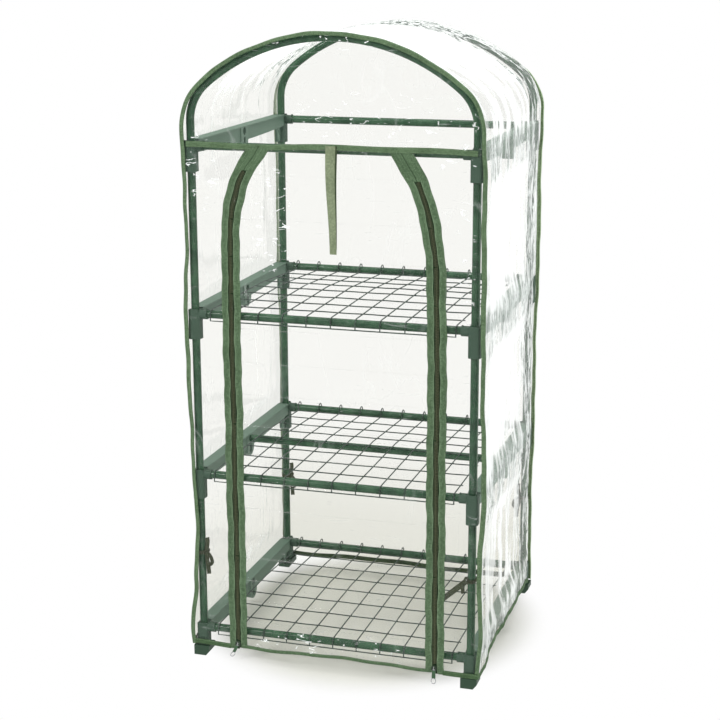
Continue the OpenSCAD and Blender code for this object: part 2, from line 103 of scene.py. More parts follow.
def shares(count):
    """0 to 1 in equal steps, both ends included."""
    return [i / count for i in range(count + 1)]


def turns(count):
    """The angles of equal steps round a circle."""
    return [2 * math.pi * k / count for k in range(count)]


def ends(t, share):
    """0 at both ends of 0..1 and 1 between them; share is how long each rise takes."""
    return step(t / share) * step((1 - t) / share)


def window(value, low, high, soft):
    """1 between low and high, falling to 0 over the soft distance outside."""
    return step((value - low + soft) / soft) * step((high + soft - value) / soft)


def eased(value, knots):
    """A smooth curve through (value, result) pairs in rising order."""
    if value <= knots[0][0]:
        return knots[0][1]
    for (a, fa), (b, fb) in zip(knots, knots[1:]):
        if value <= b:
            return lerp(fa, fb, step((value - a) / (b - a)))
    return knots[-1][1]


def wave(x, y, z, scale, seed=0.0):
    return noise.noise(Vector((x * scale + seed, y * scale - seed, z * scale + 2 * seed)))


class Arch:
    """The cover's outline in x and z, from the lower left over the top to the lower right."""

    def __init__(self, half_w, top, crown_r, low):
        s = math.sin(CROWN_HALF)
        self.half_w, self.crown_r, self.low = half_w, crown_r, low
        self.corner_r = (half_w - crown_r * s) / (1 - s)
        self.crown_z = top - crown_r
        self.corner_z = self.crown_z + (crown_r - self.corner_r) * math.cos(CROWN_HALF)
        self.leg = self.corner_z - low
        self.corner = self.corner_r * (math.pi / 2 - CROWN_HALF)
        self.length = 2 * self.leg + 2 * self.corner + crown_r * 2 * CROWN_HALF

    def at(self, s):
        """x, z and the outward normal at distance s along the outline."""
        if s > self.length / 2:
            x, z, nx, nz = self.at(self.length - s)
            return -x, z, -nx, nz
        if s <= self.leg:
            return -self.half_w, self.low + s, -1.0, 0.0
        s -= self.leg
        if s <= self.corner:
            a, r = math.pi - s / self.corner_r, self.corner_r
            c, d = math.cos(a), math.sin(a)
            return -(self.half_w - r) + r * c, self.corner_z + r * d, c, d
        a = math.pi / 2 + CROWN_HALF - (s - self.corner) / self.crown_r
        c, d = math.cos(a), math.sin(a)
        return self.crown_r * c, self.crown_z + self.crown_r * d, c, d


ARCH = Arch(COVER_W, COVER_TOP, CROWN_R, HEM_Z)

# how far the cover's front edge stands out (+) or is drawn in (-): height in metres, distance in mm
EDGE = {-1: [(0.02, 4), (0.06, 7), (0.16, -2), (0.27, -9), (0.37, -6), (0.46, -3), (0.58, 1), (0.68, 3),
             (0.78, 1), (0.86, -4), (0.94, -2), (1.05, 0), (1.15, 0)],
        1: [(0.02, 4), (0.10, 10), (0.21, 7), (0.28, 7), (0.38, 14), (0.49, 11), (0.60, 7), (0.82, 7),
            (1.00, 5), (1.08, 2), (1.18, 0)]}
# how far a zip lies outside its straight line, in the same units
ZIP_SHIFT = {-1: [(0.0, -5), (0.84, -5), (0.94, 3), (0.985, 5), (1.04, 0)],
             1: [(0.0, 7), (0.70, 7), (0.76, 5), (0.88, 2), (0.94, 4), (0.98, 5), (1.04, 0)]}


def front_edge(x, z):
    return eased(z, EDGE[-1 if x < 0 else 1]) * MM


def rear_edge(x, z):
    """The rear corners are drawn in round the posts, more so lower down."""
    return -lerp(8, 3, step((z - 0.2) / 0.9)) * MM + 1.2 * MM * math.sin(z * 17 + (1 if x > 0 else 2))


def zip_centre(side, z):
    """x of a zip's centre line at height z; side is -1 or 1."""
    base = ZIP_X
    if z > ZIP_ARC_Z:
        rise = min(z, HEADER_TOP) - ZIP_ARC_Z
        base = ZIP_X - ZIP_ARC_R + math.sqrt(ZIP_ARC_R**2 - rise**2)
    return side * (base + eased(z, ZIP_SHIFT[side]) * MM + 0.5 * MM * math.sin(z * 23 + side))


def zip_lean(side, z):
    """Unit vectors along the zip and across it, away from the door."""
    h = 2 * MM
    dx = (zip_centre(side, z + h) - zip_centre(side, z - h)) / (2 * h)
    n = math.hypot(dx, 1)
    return Vector((dx / n, 0, 1 / n)), Vector((side / n, 0, -dx / n * side))


# ---------------------------------------------------------------- mesh tools
def make(name, verts, faces, material, smooth=True, uvs=None, crease_angle=None):
    """A mesh object from lists, with uvs given per vertex; edges sharper than crease_angle stay sharp."""
    mesh = bpy.data.meshes.new(name)
    mesh.from_pydata([tuple(v) for v in verts], [], faces)
    mesh.materials.append(material)
    if smooth:
        mesh.polygons.foreach_set("use_smooth", [True] * len(mesh.polygons))
    if uvs is not None:
        layer = mesh.uv_layers.new(name="along_across")
        loops = np.zeros(len(mesh.loops), np.int32)
        mesh.loops.foreach_get("vertex_index", loops)
        layer.data.foreach_set("uv", np.array(uvs, np.float32)[loops].ravel())
    obj = bpy.data.objects.new(name, mesh)
    bpy.context.scene.collection.objects.link(obj)
    if crease_angle is not None:
        mesh.set_sharp_from_angle(angle=crease_angle)
    mesh.validate()
    return obj


class Builder:
    """Collects pieces of geometry that share one object and one material."""

    def __init__(self):
        self.verts, self.faces, self.uvs = [], [], []

    def add(self, verts, faces, uvs=None):
        base = len(self.verts)
        self.verts.extend(verts)
        self.faces.extend([tuple(i + base for i in f) for f in faces])
        self.uvs.extend(uvs if uvs is not None else [(v[2], v[0] + v[1]) for v in verts])

    def build(self, name, material, crease_degrees=None):
        angle = None if crease_degrees is None else math.radians(crease_degrees)
        return make(name, self.verts, self.faces, material, uvs=self.uvs, crease_angle=angle)


def attach(obj, body, node=None):
    """Rides a piece on a body and, for a stand-in, hides the CAD node."""
    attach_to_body(obj, body)
    if node:
        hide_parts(node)


def skin(rings, closed_path=False, caps=True):
    """Vertices and faces that join equal rings of points, each ring a closed loop."""
    count, size = len(rings), len(rings[0])
    faces = []
    for i in range(count if closed_path else count - 1):
        a, b = i * size, (i + 1) % count * size
        faces += [(a + j, a + (j + 1) % size, b + (j + 1) % size, b + j) for j in range(size)]
    if caps and not closed_path:
        faces += [tuple(range(size))[::-1], tuple((count - 1) * size + j for j in range(size))]
    return [p for ring in rings for p in ring], faces


def sweep(builder, rings, closed_path=False):
    """Adds a skin whose map gives metres along the path and round the ring."""
    around, run, uvs = [0.0], 0.0, []
    for a, b in zip(rings[0], rings[0][1:]):
        around.append(around[-1] + (Vector(b) - Vector(a)).length)
    for i, ring in enumerate(rings):
        if i:
            run += (Vector(ring[0]) - Vector(rings[i - 1][0])).length
        uvs.extend((run, share) for share in around)
    builder.add(*skin(rings, closed_path), uvs)


def circle(centre, across, over, radius, sides):
    return [centre + across * radius * math.cos(a) + over * radius * math.sin(a) for a in turns(sides)]


def round_wire(builder, points, radius, up=(0, 0, 1), sides=8, tapered=False):
    """A wire along points; a tapered one is thinner at its two ends."""
    rings, last = [], len(points) - 1
    for i, p in enumerate(points):
        ahead = (Vector(points[min(i + 1, last)]) - Vector(points[max(i - 1, 0)])).normalized()
        across = ahead.cross(Vector(up)).normalized()
        r = radius * (0.7 if tapered and i in (0, last) else 1)
        rings.append(circle(Vector(p), across, across.cross(ahead).normalized(), r, sides))
    sweep(builder, rings)


def wire_loop(builder, points, radius, sides):
    """A wire along a closed loop that lies in an upright plane facing the front."""
    rings = []
    for k, p in enumerate(points):
        ahead = (points[(k + 1) % len(points)] - points[k - 1]).normalized()
        rings.append(circle(p, ahead.cross(BACKWARD).normalized(), BACKWARD, radius, sides))
    sweep(builder, rings, closed_path=True)


def tape_profile(width, thickness, crown=0.0, cells=6):
    """Rounded flat section as (across, out) pairs, centred on the tape's mid line."""
    half, t = width / 2, thickness / 2
    r = min(t, half / 3)
    top = [(lerp(-half + r, half - r, i), t + crown * (1 - (2 * i - 1) ** 2)) for i in shares(cells)]
    low = [(lerp(half - r, -half + r, i), -t) for i in shares(cells)]
    rim = [(half - 0.15 * r, t * 0.55), (half, 0), (half - 0.15 * r, -t * 0.55)]
    return top + rim + low + [(-a, -o) for a, o in rim]


def tape(builder, path, width, thickness, crown=0.0, cells=6):
    """A flat tape along path, a list of (point, across, out) vectors."""
    profile = tape_profile(width, thickness, crown, cells)
    sweep(builder, [[p + across * a + out * o for a, o in profile] for p, across, out in path])


def capsule(builder, centre, along, across, out, length, wide, high):
    """One thread stitch: a low rounded dash."""
    ring = [(0.0, 1.0), (0.87, 0.5), (0.87, -0.5), (0.0, -1.0), (-0.87, -0.5), (-0.87, 0.5)]
    verts, faces, n = [centre + along * -0.5 * length], [], len(ring)
    for s, r in ((-0.36, 0.8), (0.0, 1.0), (0.36, 0.8)):
        verts += [centre + along * s * length + across * a * r * wide / 2 + out * o * r * high / 2 for a, o in ring]
    verts.append(centre + along * 0.5 * length)
    for j in range(n):
        k = (j + 1) % n
        faces.append((0, 1 + k, 1 + j))
        faces += [(row + j, row + k, row + n + k, row + n + j) for row in (1, 1 + n)]
        faces.append((1 + 2 * n + j, 1 + 2 * n + k, 1 + 3 * n))
    builder.add(verts, faces)


def stitch_line(builder, path, offset, lift, pitch=4.4 * MM, length=3.1 * MM):
    """Thread dashes along path at an offset across it, standing lift out of the middle plane."""
    carry = pitch / 2
    for (p, a, o), (q, b, w) in zip(path, path[1:]):
        run = (q - p).length
        while carry < run:
            t = carry / run
            reach, out = a.lerp(b, t), o.lerp(w, t).normalized()
            capsule(builder, p.lerp(q, t) + reach * offset + out * lift, (q - p).normalized(),
                    reach.normalized(), out, length, 0.75 * MM, 0.6 * MM)
            carry += pitch
        carry -= run


def grid(name, rows, columns, point, material, thickness=FILM_T, flip=False):
    """A sheet through point(u, v), with u and v in 0..1; flip turns its faces over."""
    verts, faces = [point(u, v) for v in shares(rows) for u in shares(columns)], []
    for j in range(rows):
        for i in range(columns):
            a = j * (columns + 1) + i
            right, above, across = a + 1, a + columns + 1, a + columns + 2
            faces.append((a, above, across, right) if flip else (a, right, across, above))
    obj = make(name, verts, faces, material)
    mod = obj.modifiers.new("thickness", "SOLIDIFY")
    mod.thickness, mod.offset, mod.use_even_offset = thickness, 0.0, False
    return obj


# ---------------------------------------------------------------- materials
def linear(*display):
    """A colour given as 0..255 display values, as Blender's linear numbers."""
    shown = [c / 255 for c in display]
    return tuple(c / 12.92 if c <= 0.04045 else ((c + 0.055) / 1.055) ** 2.4 for c in shown) + (1.0,)


def paler(colour, factor, lift):
    return tuple(min(1.0, c * factor + lift) for c in colour[:3]) + (1.0,)


class Nodes:
    """Short calls for building the node tree of a material or of the world."""

    def __init__(self, owner, output="OutputMaterial"):
        owner.use_nodes = True
        self.owner, self.tree = owner, owner.node_tree
        self.tree.nodes.clear()
        self.out = self.put(output)

    def put(self, kind, inputs=None, **settings):
        n = self.tree.nodes.new("ShaderNode" + kind)
        for key, value in settings.items():
            setattr(n, key, value)
        for key, value in (inputs or {}).items():
            self.feed(n.inputs[key], value)
        return n

    def feed(self, socket, value):
        if isinstance(value, bpy.types.NodeSocket):
            self.tree.links.new(value, socket)
        else:
            socket.default_value = value

    def math(self, operation, a, b=0.0, clamp=False):
        return self.put("Math", {0: a, 1: b}, operation=operation, use_clamp=clamp).outputs[0]

    def mul(self, a, b):
        return self.math("MULTIPLY", a, b)

    def add(self, a, b, clamp=False):
        return self.math("ADD", a, b, clamp)

    def off(self, value, centre):
        """How far a value is from a centre, whichever side."""
        return self.math("ABSOLUTE", self.math("SUBTRACT", value, centre))

    def sway(self, value, wander, amount):
        """The value moved to and fro by a noise."""
        return self.add(value, self.mul(self.math("SUBTRACT", wander, 0.5), amount))

    def mix(self, factor, a, b, blend="MIX"):
        n = self.put("Mix", data_type="RGBA", blend_type=blend)
        for key, value in (("Factor", factor), ("A", a), ("B", b)):
            self.feed(n.inputs[key], value)
        return n.outputs["Result"]

    def ramp(self, value, stops, interpolation="LINEAR"):
        n = self.put("ValToRGB", {"Fac": value})
        n.color_ramp.interpolation = interpolation
        while len(n.color_ramp.elements) < len(stops):
            n.color_ramp.elements.new(0.5)
        for element, (place, tone) in zip(n.color_ramp.elements, stops):
            element.position = place
            element.color = (tone, tone, tone, 1)
        return n.outputs["Color"]

    def rise(self, value, low, high, interpolation="LINEAR"):
        return self.ramp(value, [(low, 0.0), (high, 1.0)], interpolation)

    def fall(self, value, low, high, interpolation="LINEAR"):
        return self.ramp(value, [(low, 1.0), (high, 0.0)], interpolation)

    def place(self):
        return self.put("TexCoord").outputs["Object"]

    def parts(self, vector):
        return self.put("SeparateXYZ", {0: vector}).outputs

    def noise(self, vector, scale, detail=3.0, rough=0.5, distortion=0.0):
        return self.put("TexNoise", {"Vector": vector, "Scale": scale, "Detail": detail, "Roughness": rough,
                                     "Distortion": distortion}).outputs["Fac"]

    def mapped(self, vector, scale=(1, 1, 1), rotation=(0, 0, 0)):
        return self.put("Mapping", {"Vector": vector, "Scale": scale, "Rotation": rotation}).outputs[0]

    def distance(self, place, centre, half_sizes):
        """Distance from a centre, counted in half sizes."""
        moved = self.put("VectorMath", {0: place, 1: centre}, operation="SUBTRACT").outputs[0]
        moved = self.put("VectorMath", {0: moved, 1: half_sizes}, operation="DIVIDE").outputs[0]
        return self.put("VectorMath", {0: moved}, operation="LENGTH").outputs["Value"]

    def bump(self, height, strength, distance):
        return self.put("Bump", {"Height": height, "Strength": strength, "Distance": distance}).outputs[0]

    def shader(self, kind, **inputs):
        """A shader node's output; underscores in a name stand for its spaces."""
        return self.put(kind, {key.replace("_", " "): value for key, value in inputs.items()}).outputs[0]

    def blend(self, share, first, second):
        return self.put("MixShader", {0: share, 1: first, 2: second}).outputs[0]

    def finish(self, shader):
        self.feed(self.out.inputs["Surface"], shader)
        return self.owner


def material_nodes(name):
    return Nodes(bpy.data.materials.new(name))


def painted_tube(name, dark, light, rough):
    """Powder coat: mottled green with fine pits, thin scuffs and a soft gloss."""
    n, dark, light = material_nodes(name), linear(*dark), linear(*light)
    place = n.place()
    blotch = n.noise(place, 38, 4, 0.65)
    fine = n.noise(place, 420, 3, 0.6)
    scuff = n.noise(n.mapped(place, (60, 60, 14), (0.4, 0.2, 0)), 3, 5, 0.75, 1.2)
    colour = n.mix(n.rise(blotch, 0.36, 0.66), dark, light)
    colour = n.mix(n.mul(n.rise(fine, 0.5, 0.75), 0.35), colour, light)
    colour = n.mix(n.mul(n.rise(scuff, 0.62, 0.72), 0.45), colour, paler(light, 1.7, 0.02))
    height = n.add(n.mul(fine, 0.5), n.mul(blotch, 0.6))
    return n.finish(n.shader("BsdfPrincipled", Base_Color=colour, Roughness=n.add(rough, n.mul(blotch, 0.16)),
                             Specular_IOR_Level=0.3, Coat_Weight=0.14, Coat_Roughness=0.12,
                             Normal=n.bump(height, 0.22, 0.0006)))


def moulded(name, base, edge, rough=0.46, collar_shade=None):
    """Moulded plastic: fine grain, flow marks and paler worn edges; the collar colour darkens the ends by the posts,
    a painted shade.
    """
    n, base, edge = material_nodes(name), linear(*base), linear(*edge)
    place = n.place()
    grain = n.noise(place, 900, 2, 0.55)
    flow = n.noise(n.mapped(place, (14, 5, 20)), 2, 4, 0.6, 0.8)
    worn = n.rise(n.put("NewGeometry").outputs["Pointiness"], 0.505, 0.56)
    colour = n.mix(n.mul(flow, 0.6), base, edge)
    colour = n.mix(n.mul(worn, 0.35), colour, edge)
    if collar_shade is not None:
        # painted shade: the ends of the rail by the posts are multiplied darker
        far = n.math("ABSOLUTE", n.parts(place)["Y"])
        colour = n.mix(n.rise(n.mul(far, 2.0), 0.478, 0.49), colour, collar_shade, "MULTIPLY")
    return n.finish(n.shader("BsdfPrincipled", Base_Color=colour, Roughness=n.add(rough, n.mul(flow, 0.14)),
                             Specular_IOR_Level=0.24, Normal=n.bump(grain, 0.18, 0.0004)))


def woven(name, base, shade, pitch=1.15 * MM):
    """Woven tape: ribs across, warp threads along, fuzz and uneven dye; the grooves between ribs take the shade
    colour as painted shade. Uses the mesh's along/across map.
    """
    n, base, shade = material_nodes(name), linear(*base), linear(*shade)
    split, place = n.parts(n.put("UVMap").outputs[0]), n.place()
    turn = 2 * math.pi / pitch
    along = n.math("SINE", n.mul(split[0], turn))
    across = n.math("SINE", n.mul(split[1], turn * 0.8))
    rib = n.add(n.mul(n.mul(along, across), 0.32), n.mul(along, 0.18))
    fuzz = n.noise(place, 1500, 3, 0.6)
    dye = n.noise(place, 26, 4, 0.6)
    mottle = n.noise(place, 330, 2, 0.5)
    tone = n.add(n.mul(rib, 0.5), n.mul(fuzz, 0.5))
    pale = paler(base, 1.28, 0.01)
    # painted shade: the weave's grooves are coloured darker
    colour = n.mix(n.rise(tone, 0.0, 0.55), shade, base)
    colour = n.mix(n.mul(n.rise(dye, 0.4, 0.7), 0.5), colour, pale)
    colour = n.mix(n.mul(n.rise(mottle, 0.50, 0.66), 0.55), colour, pale)
    colour = n.mix(n.mul(n.fall(mottle, 0.36, 0.48), 0.45), colour, shade)
    return n.finish(n.shader("BsdfPrincipled", Base_Color=colour, Roughness=0.7, Specular_IOR_Level=0.15,
                             Sheen_Weight=0.12, Sheen_Roughness=0.5, Sheen_Tint=pale,
                             Normal=n.bump(n.add(rib, n.mul(fuzz, 0.7)), 0.5, 0.0005)))


def plated(name, colour, rough):
    """Plated metal with faint smears."""
    n = material_nodes(name)
    smear = n.noise(n.mapped(n.place(), (300, 300, 60)), 1.5, 4, 0.6)
    return n.finish(n.shader("BsdfPrincipled", Base_Color=colour, Metallic=1.0,
                             Roughness=n.add(rough, n.mul(smear, 0.2)), Normal=n.bump(smear, 0.1, 0.0002)))


def clear_film(name, glint_zones=(), haze=0.004, milk_and_reflection=0.0, streak_scale=(14, 30, 6), streak_turn=(0, 0, 0),
               dark=0.0, warm=0.0, splinter_scale=(26, 50, 80), creased=0.08, crease_scale=(7, 7, 3)):
    """Soft clear sheet: nearly invisible face on, white at a glancing angle, with creases that catch the light.

    The glancing white is how white it turns at a glancing angle: partly the sheet's own haze, partly a painted
    reflection of the bright room, with a small painted glow. Where it lies against a rail or a rear post it breaks up
    into streaks that let the frame show, and there painted dark green-grey streaks stand in for the frame seen bent
    through the creases. A glint zone is (centre, half sizes, strength) in metres; the glints and crease lines are
    painted highlights."""
    n = material_nodes(name)
    place = n.place()
    wander = n.noise(place, 11, 4, 0.6, 0.5)
    soft = n.noise(place, 7, 3, 0.5, 0.4)
    crease = n.noise(n.mapped(place, streak_scale, streak_turn), 1.0, 4, 0.6, 1.4)
    crinkle = n.noise(place, 60, 3, 0.6, 1.6)
    normal = n.bump(n.add(n.mul(crease, 0.8), n.mul(crinkle, 0.12)), 0.35, 0.003)
    fine = n.noise(n.mapped(place, tuple(3.2 * v for v in streak_scale), streak_turn), 1.0, 5, 0.68, 1.9)

    # where the frame behind shows through: along the rails and by the rear posts
    split = n.parts(place)
    turns = n.math("SUBTRACT", n.sway(split["Z"], wander, 0.07), LEVELS[0] - 0.012)
    turns = n.math("DIVIDE", turns, LEVELS[1] - LEVELS[0])
    at_rail = n.fall(n.off(turns, n.math("ROUND", turns)), 0.085, 0.15, "EASE")
    deep = n.mul(n.sway(split["Y"], wander, 0.12), 2.0)
    at_post = n.ramp(deep, [(0.20, 0.0), (0.30, 1.0), (0.44, 1.0), (0.52, 0.3)], "EASE")
    show = n.math("MAXIMUM", n.mul(at_rail, 0.8), at_post)
    low_part = n.fall(split["Z"], 0.30, 0.52, "EASE")
    patch = n.ramp(n.noise(n.mapped(place, (5, 8, 3.4), (0.7, 0, 0)), 1.0, 2, 0.4, 0.6),
                   [(0.44, 0.50), (0.50, 0.62), (0.52, 0.30), (0.60, 0.42), (0.62, 0.85)])
    edge_on = n.rise(n.put("LayerWeight", {"Blend": 0.5}).outputs["Facing"], 0.70, 0.83, "EASE")

    # the clear share: faintly tinted, with painted dark green-grey streaks where the frame lies behind, and a soft
    # mirror
    painted_frame_streak = n.mul(n.rise(fine, 0.50, 0.58), n.mul(show, dark))
    low_tone = n.fall(split["Z"], 0.06, 0.40, "EASE")
    tint = n.mix(n.mul(low_tone, warm), linear(253, 253, 252), linear(243, 243, 239))
    # painted: the see-through colour turns green-grey, standing in for the frame seen bent through the creases
    through = n.mix(n.mul(painted_frame_streak, edge_on), tint, linear(112, 136, 126))
    clear = n.shader("BsdfTransparent", Color=through)
    gloss = n.shader("BsdfGlossy", Color=(1, 1, 1, 1), Roughness=0.07, Normal=normal)
    mirror = n.put("Fresnel", {"IOR": 1.35, "Normal": normal}).outputs[0]
    clear = n.blend(n.mul(mirror, 0.14), clear, gloss)

    # the white share: haze, the glancing white (partly haze, partly painted reflection), scratches, and crease lines
    # and glints, which are painted highlights
    broken = n.ramp(fine, [(0.46, 0.75), (0.54, 0.04)])
    # the glancing white: partly the sheet's haze, partly painted reflection
    solid = n.mul(milk_and_reflection, n.add(n.mul(soft, 0.25), 0.82))
    plain = n.mix(low_part, solid, n.mul(patch, milk_and_reflection))
    cover = n.mix(show, plain, n.mul(broken, n.mul(milk_and_reflection, 0.9)))
    white_share = n.add(n.mul(soft, 2 * haze), n.mul(cover, edge_on), clamp=True)
    scratch = n.ramp(n.noise(n.mapped(place, (9, 9, 60), (0.5, 0.9, 0.2)), 1.0, 2, 0.5, 2.4),
                     [(0.700, 0.0), (0.712, 1.0), (0.728, 1.0), (0.74, 0.0)])
    white_share = n.add(white_share, n.mul(scratch, 0.10), clamp=True)
    line = n.off(n.noise(n.mapped(place, crease_scale, (0.2, 0.5, 0.1)), 1.0, 3, 0.55, 0.8), 0.5)
    line = n.mul(n.fall(line, 0.0, 0.014), n.rise(soft, 0.46, 0.58))
    calm = n.mul(creased, n.math("SUBTRACT", 1.0, n.mul(low_part, 0.6)))
    white_share = n.add(white_share, n.mul(line, calm), clamp=True)
    stroke = n.off(n.noise(n.mapped(place, splinter_scale, (0.1, 0.5, 0.0)), 1.0, 2, 0.5, 0.4), 0.5)
    apart = n.rise(n.noise(place, 55, 2, 0.5, 0.6), 0.56, 0.60)
    stroke = n.mul(n.fall(stroke, 0.012, 0.022), apart)
    zones = None
    for centre, half_sizes, strength in glint_zones:
        far = n.sway(n.distance(place, centre, half_sizes), wander, 1.1)
        inside = n.mul(n.fall(far, 0.70, 1.0, "EASE"), strength)
        zones = inside if zones is None else n.math("MAXIMUM", zones, inside)
    glint = n.mul(stroke, 0.0 if zones is None else zones)
    white_share = n.math("MAXIMUM", white_share, glint, clamp=True)
    pale = (0.93, 0.945, 0.945, 1)
    white = n.blend(0.5, n.shader("BsdfDiffuse", Color=pale), n.shader("BsdfTranslucent", Color=pale))
    # a painted glow: the white share also gives off a little light of its own
    painted_glow = n.shader("Emission", Color=(0.97, 1, 0.99, 1), Strength=0.24)
    white = n.put("AddShader", {0: white, 1: painted_glow}).outputs[0]
    return n.finish(n.blend(white_share, clear, white))


TUBE = painted_tube("tube_paint", (34, 68, 46), (60, 98, 70), 0.16)
RAIL = moulded("rail_plastic", (82, 108, 92), (118, 140, 126), collar_shade=(0.40, 0.48, 0.43, 1))
FOOT = moulded("foot_plastic", (34, 56, 40), (58, 82, 64), 0.4)
WIRE = painted_tube("wire_coat", (38, 54, 46), (62, 80, 70), 0.3)
TAPE = woven("tape_weave", (98, 122, 90), (66, 88, 60))
ZIP_TAPE = woven("zip_tape_weave", (92, 116, 86), (62, 84, 58))
# dark olive: partly the chain tape's own colour, partly painted shade beside the teeth
CHAIN_TAPE_AND_SHADE = woven("zip_chain_and_shade_weave", (46, 66, 42), (28, 42, 26), 0.9 * MM)
THREAD = woven("thread", (132, 156, 124), (104, 128, 98), 0.5 * MM)
STRAP = woven("strap_weave", (136, 148, 118), (108, 120, 92), 1.0 * MM)
TAPE_HEM = woven("hem_tape_weave", (78, 104, 70), (52, 74, 48))
# painted light: a lighter copy of the tape for the rear binding, which sits in shade
TAPE_REAR_LIT = woven("rear_tape_lit_weave", (158, 180, 142), (118, 142, 104))
# the strap's back layer: the strap's green with painted shade
STRAP_BACK_SHADED = woven("strap_shade_weave", (68, 82, 56), (48, 60, 40), 1.0 * MM)
TIE = woven("tie_weave", (76, 82, 64), (50, 56, 42), 1.0 * MM)
TEETH = moulded("zip_teeth", (72, 78, 54), (102, 106, 80), 0.3)
SILVER = plated("plated_metal", (0.50, 0.51, 0.52, 1), 0.16)
ENAMEL = painted_tube("slider_enamel", (34, 50, 34), (54, 70, 52), 0.22)
PULL_TAB = painted_tube("pull_enamel", (52, 84, 56), (74, 106, 76), 0.3)
FILM_WRAP = clear_film(
    "film_wrap", [((0.06, -0.25, 1.25), (0.18, 0.06, 0.06), 1.0), ((-0.25, -0.24, 1.16), (0.08, 0.06, 0.10), 0.9)],
    haze=0.03, milk_and_reflection=0.95, streak_scale=(14, 22, 5), streak_turn=(0.35, 0, 0), dark=0.8, warm=0.7, creased=0.22,
    crease_scale=(9, 12, 4))
FILM_FRONT = clear_film(
    "film_front", [((0.255, -0.27, 1.035), (0.05, 0.03, 0.03), 1.0), ((0.12, -0.27, 1.10), (0.22, 0.03, 0.06), 0.55),
                   ((-0.26, -0.27, 1.00), (0.04, 0.03, 0.09), 1.0), ((0.265, -0.27, 0.86), (0.02, 0.03, 0.16), 0.6),
                   ((0.03, -0.27, 1.245), (0.16, 0.03, 0.024), 1.0)])
FILM_DOOR = clear_film(
    "film_door", [((0.0, -0.27, 0.050), (0.20, 0.03, 0.030), 1.0), ((-0.115, -0.27, 0.90), (0.05, 0.03, 0.12), 0.9)],
    splinter_scale=(26, 50, 90))
FILM_BACK = clear_film("film_back", warm=1.0)
# the cut edges of a sheet that goes on in the next piece are not seen
cut = material_nodes("film_cut")
FILM_CUT = cut.finish(cut.shader("BsdfTransparent", Color=(1, 1, 1, 1)))

CARRIED = (("rail", RAIL), ("feet", FOOT), ("posts", TUBE), ("tube", TUBE), ("hoop", TUBE))
for node_name, node_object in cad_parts.items():
    for prefix, finish in CARRIED:
        if node_name.startswith(prefix):
            if not node_object.material_slots:
                node_object.data.materials.append(finish)
            for slot in node_object.material_slots:
                slot.material = finish


# ---------------------------------------------------------------- cover film
def small_folds(x, y, z, strength=1.0):
    return strength * MM * (1.6 * wave(x, y, z, 9, 3.1) + 0.9 * wave(x, y, z * 0.5, 34, 7.7)
                            + 0.45 * wave(x, y, z, 80, 1.3))


def rail_guard(z):
    """0 at the rails' heights, where the cover lies on the plastic, 1 between them."""
    clear = 1.0
    for level in LEVELS:
        clear *= 1 - window(z, level - 0.045, level + 0.012, 0.05)
    return clear


def side_rise(v):
    """How much higher the lower edge hangs along a side than at the corners."""
    return (10 + 9 * math.sin(math.pi * v)) * MM * ends(v, 0.12)


def wrap_point(u, v):
    """The film over the sides and roof: u runs over the arch from the left, v from front to rear."""
    x, z, nx, nz = ARCH.at(u * ARCH.length)
    y = lerp(FRONT_Y + 0.6 * MM, REAR_Y - 0.6 * MM, v)
    on_side = abs(nx) ** 2
    between = rail_guard(z)
    shift = (front_edge(x, z) * step(1 - v / 0.22) + rear_edge(x, z) * step((v - 0.86) / 0.14)) * on_side
    shift += 3.5 * MM * on_side * (1 if x > 0 else 0.4) * step(v / 0.1) * step((0.9 - v) / 0.2)
    span = math.sin(math.pi * min(1, max(0, v)))
    shift -= 9 * MM * span**1.5 * between * on_side * (z < LEVELS[3] + 0.02)
    # the roof droops between the two hoops
    shift -= 7 * MM * (1 - on_side) * span**2
    crumple = 1.0 + 1.5 * window(z, 0.0, 0.30, 0.2) * (x > 0) + 1.4 * step((v - 0.6) / 0.3) * (x > 0)
    crumple += 1.2 * window(z, 1.02, 1.17, 0.08)
    shift += small_folds(x, y * 2.2, z * 0.6, crumple) * ends(v, 0.05)
    if on_side > 0.9 and between < 0.5 and 0.02 < v < 0.95:
        shift = max(shift, -1.5 * MM if abs(nx) > 0.99 else -3 * MM)  # the rail holds it out
    z += side_rise(v) * step(1 - (z - HEM_Z) / 0.15)
    return (x + nx * shift, y, z + nz * shift)


def back_point(u, v):
    """The flat rear panel, from the hem up to the arch."""
    base, knee = ARCH.leg * 0.9, 0.75  # the sheet turns into the arch above this height and this share
    tx, tz, nx, nz = ARCH.at(lerp(base, ARCH.length - base, u))
    tx += nx * rear_edge(tx, tz) * abs(nx)
    bx, z0 = lerp(-COVER_W, COVER_W, u), ARCH.low + base
    if v < knee:
        z = lerp(HEM_Z, z0, v / knee)
        x = bx / COVER_W * (COVER_W + rear_edge(bx, z))
    else:
        t = (v - knee) / (1 - knee)
        x, z = lerp(bx / COVER_W * (COVER_W + rear_edge(bx, z0)), tx, t), lerp(z0, tz, t)
    fade = step(v / 0.03) * step((1 - v) / 0.04) * ends(u, 0.04)
    y0 = REAR_Y - 0.3 * MM
    return (x, y0 + (small_folds(x * 0.8, y0 + 5.0, z * 0.5, 1.3) + 1.2 * MM) * fade, z)


def front_arch_point(u, v):
    """The clear panel above the header tape."""
    z_line = HEADER_Z + 4 * MM
    s0 = ARCH.leg - (ARCH.corner_z - z_line)
    tx, tz, _, _ = ARCH.at(lerp(s0, ARCH.length - s0, u))
    x, z = lerp(lerp(-COVER_W, COVER_W, u), tx, v), lerp(z_line, tz, v)
    fade = ends(v, 0.06) * ends(u, 0.04)
    return (x, FILM_Y - (small_folds(x * 0.8, 4.0, z * 0.8, 1.5) + 1.0 * MM) * fade, z)


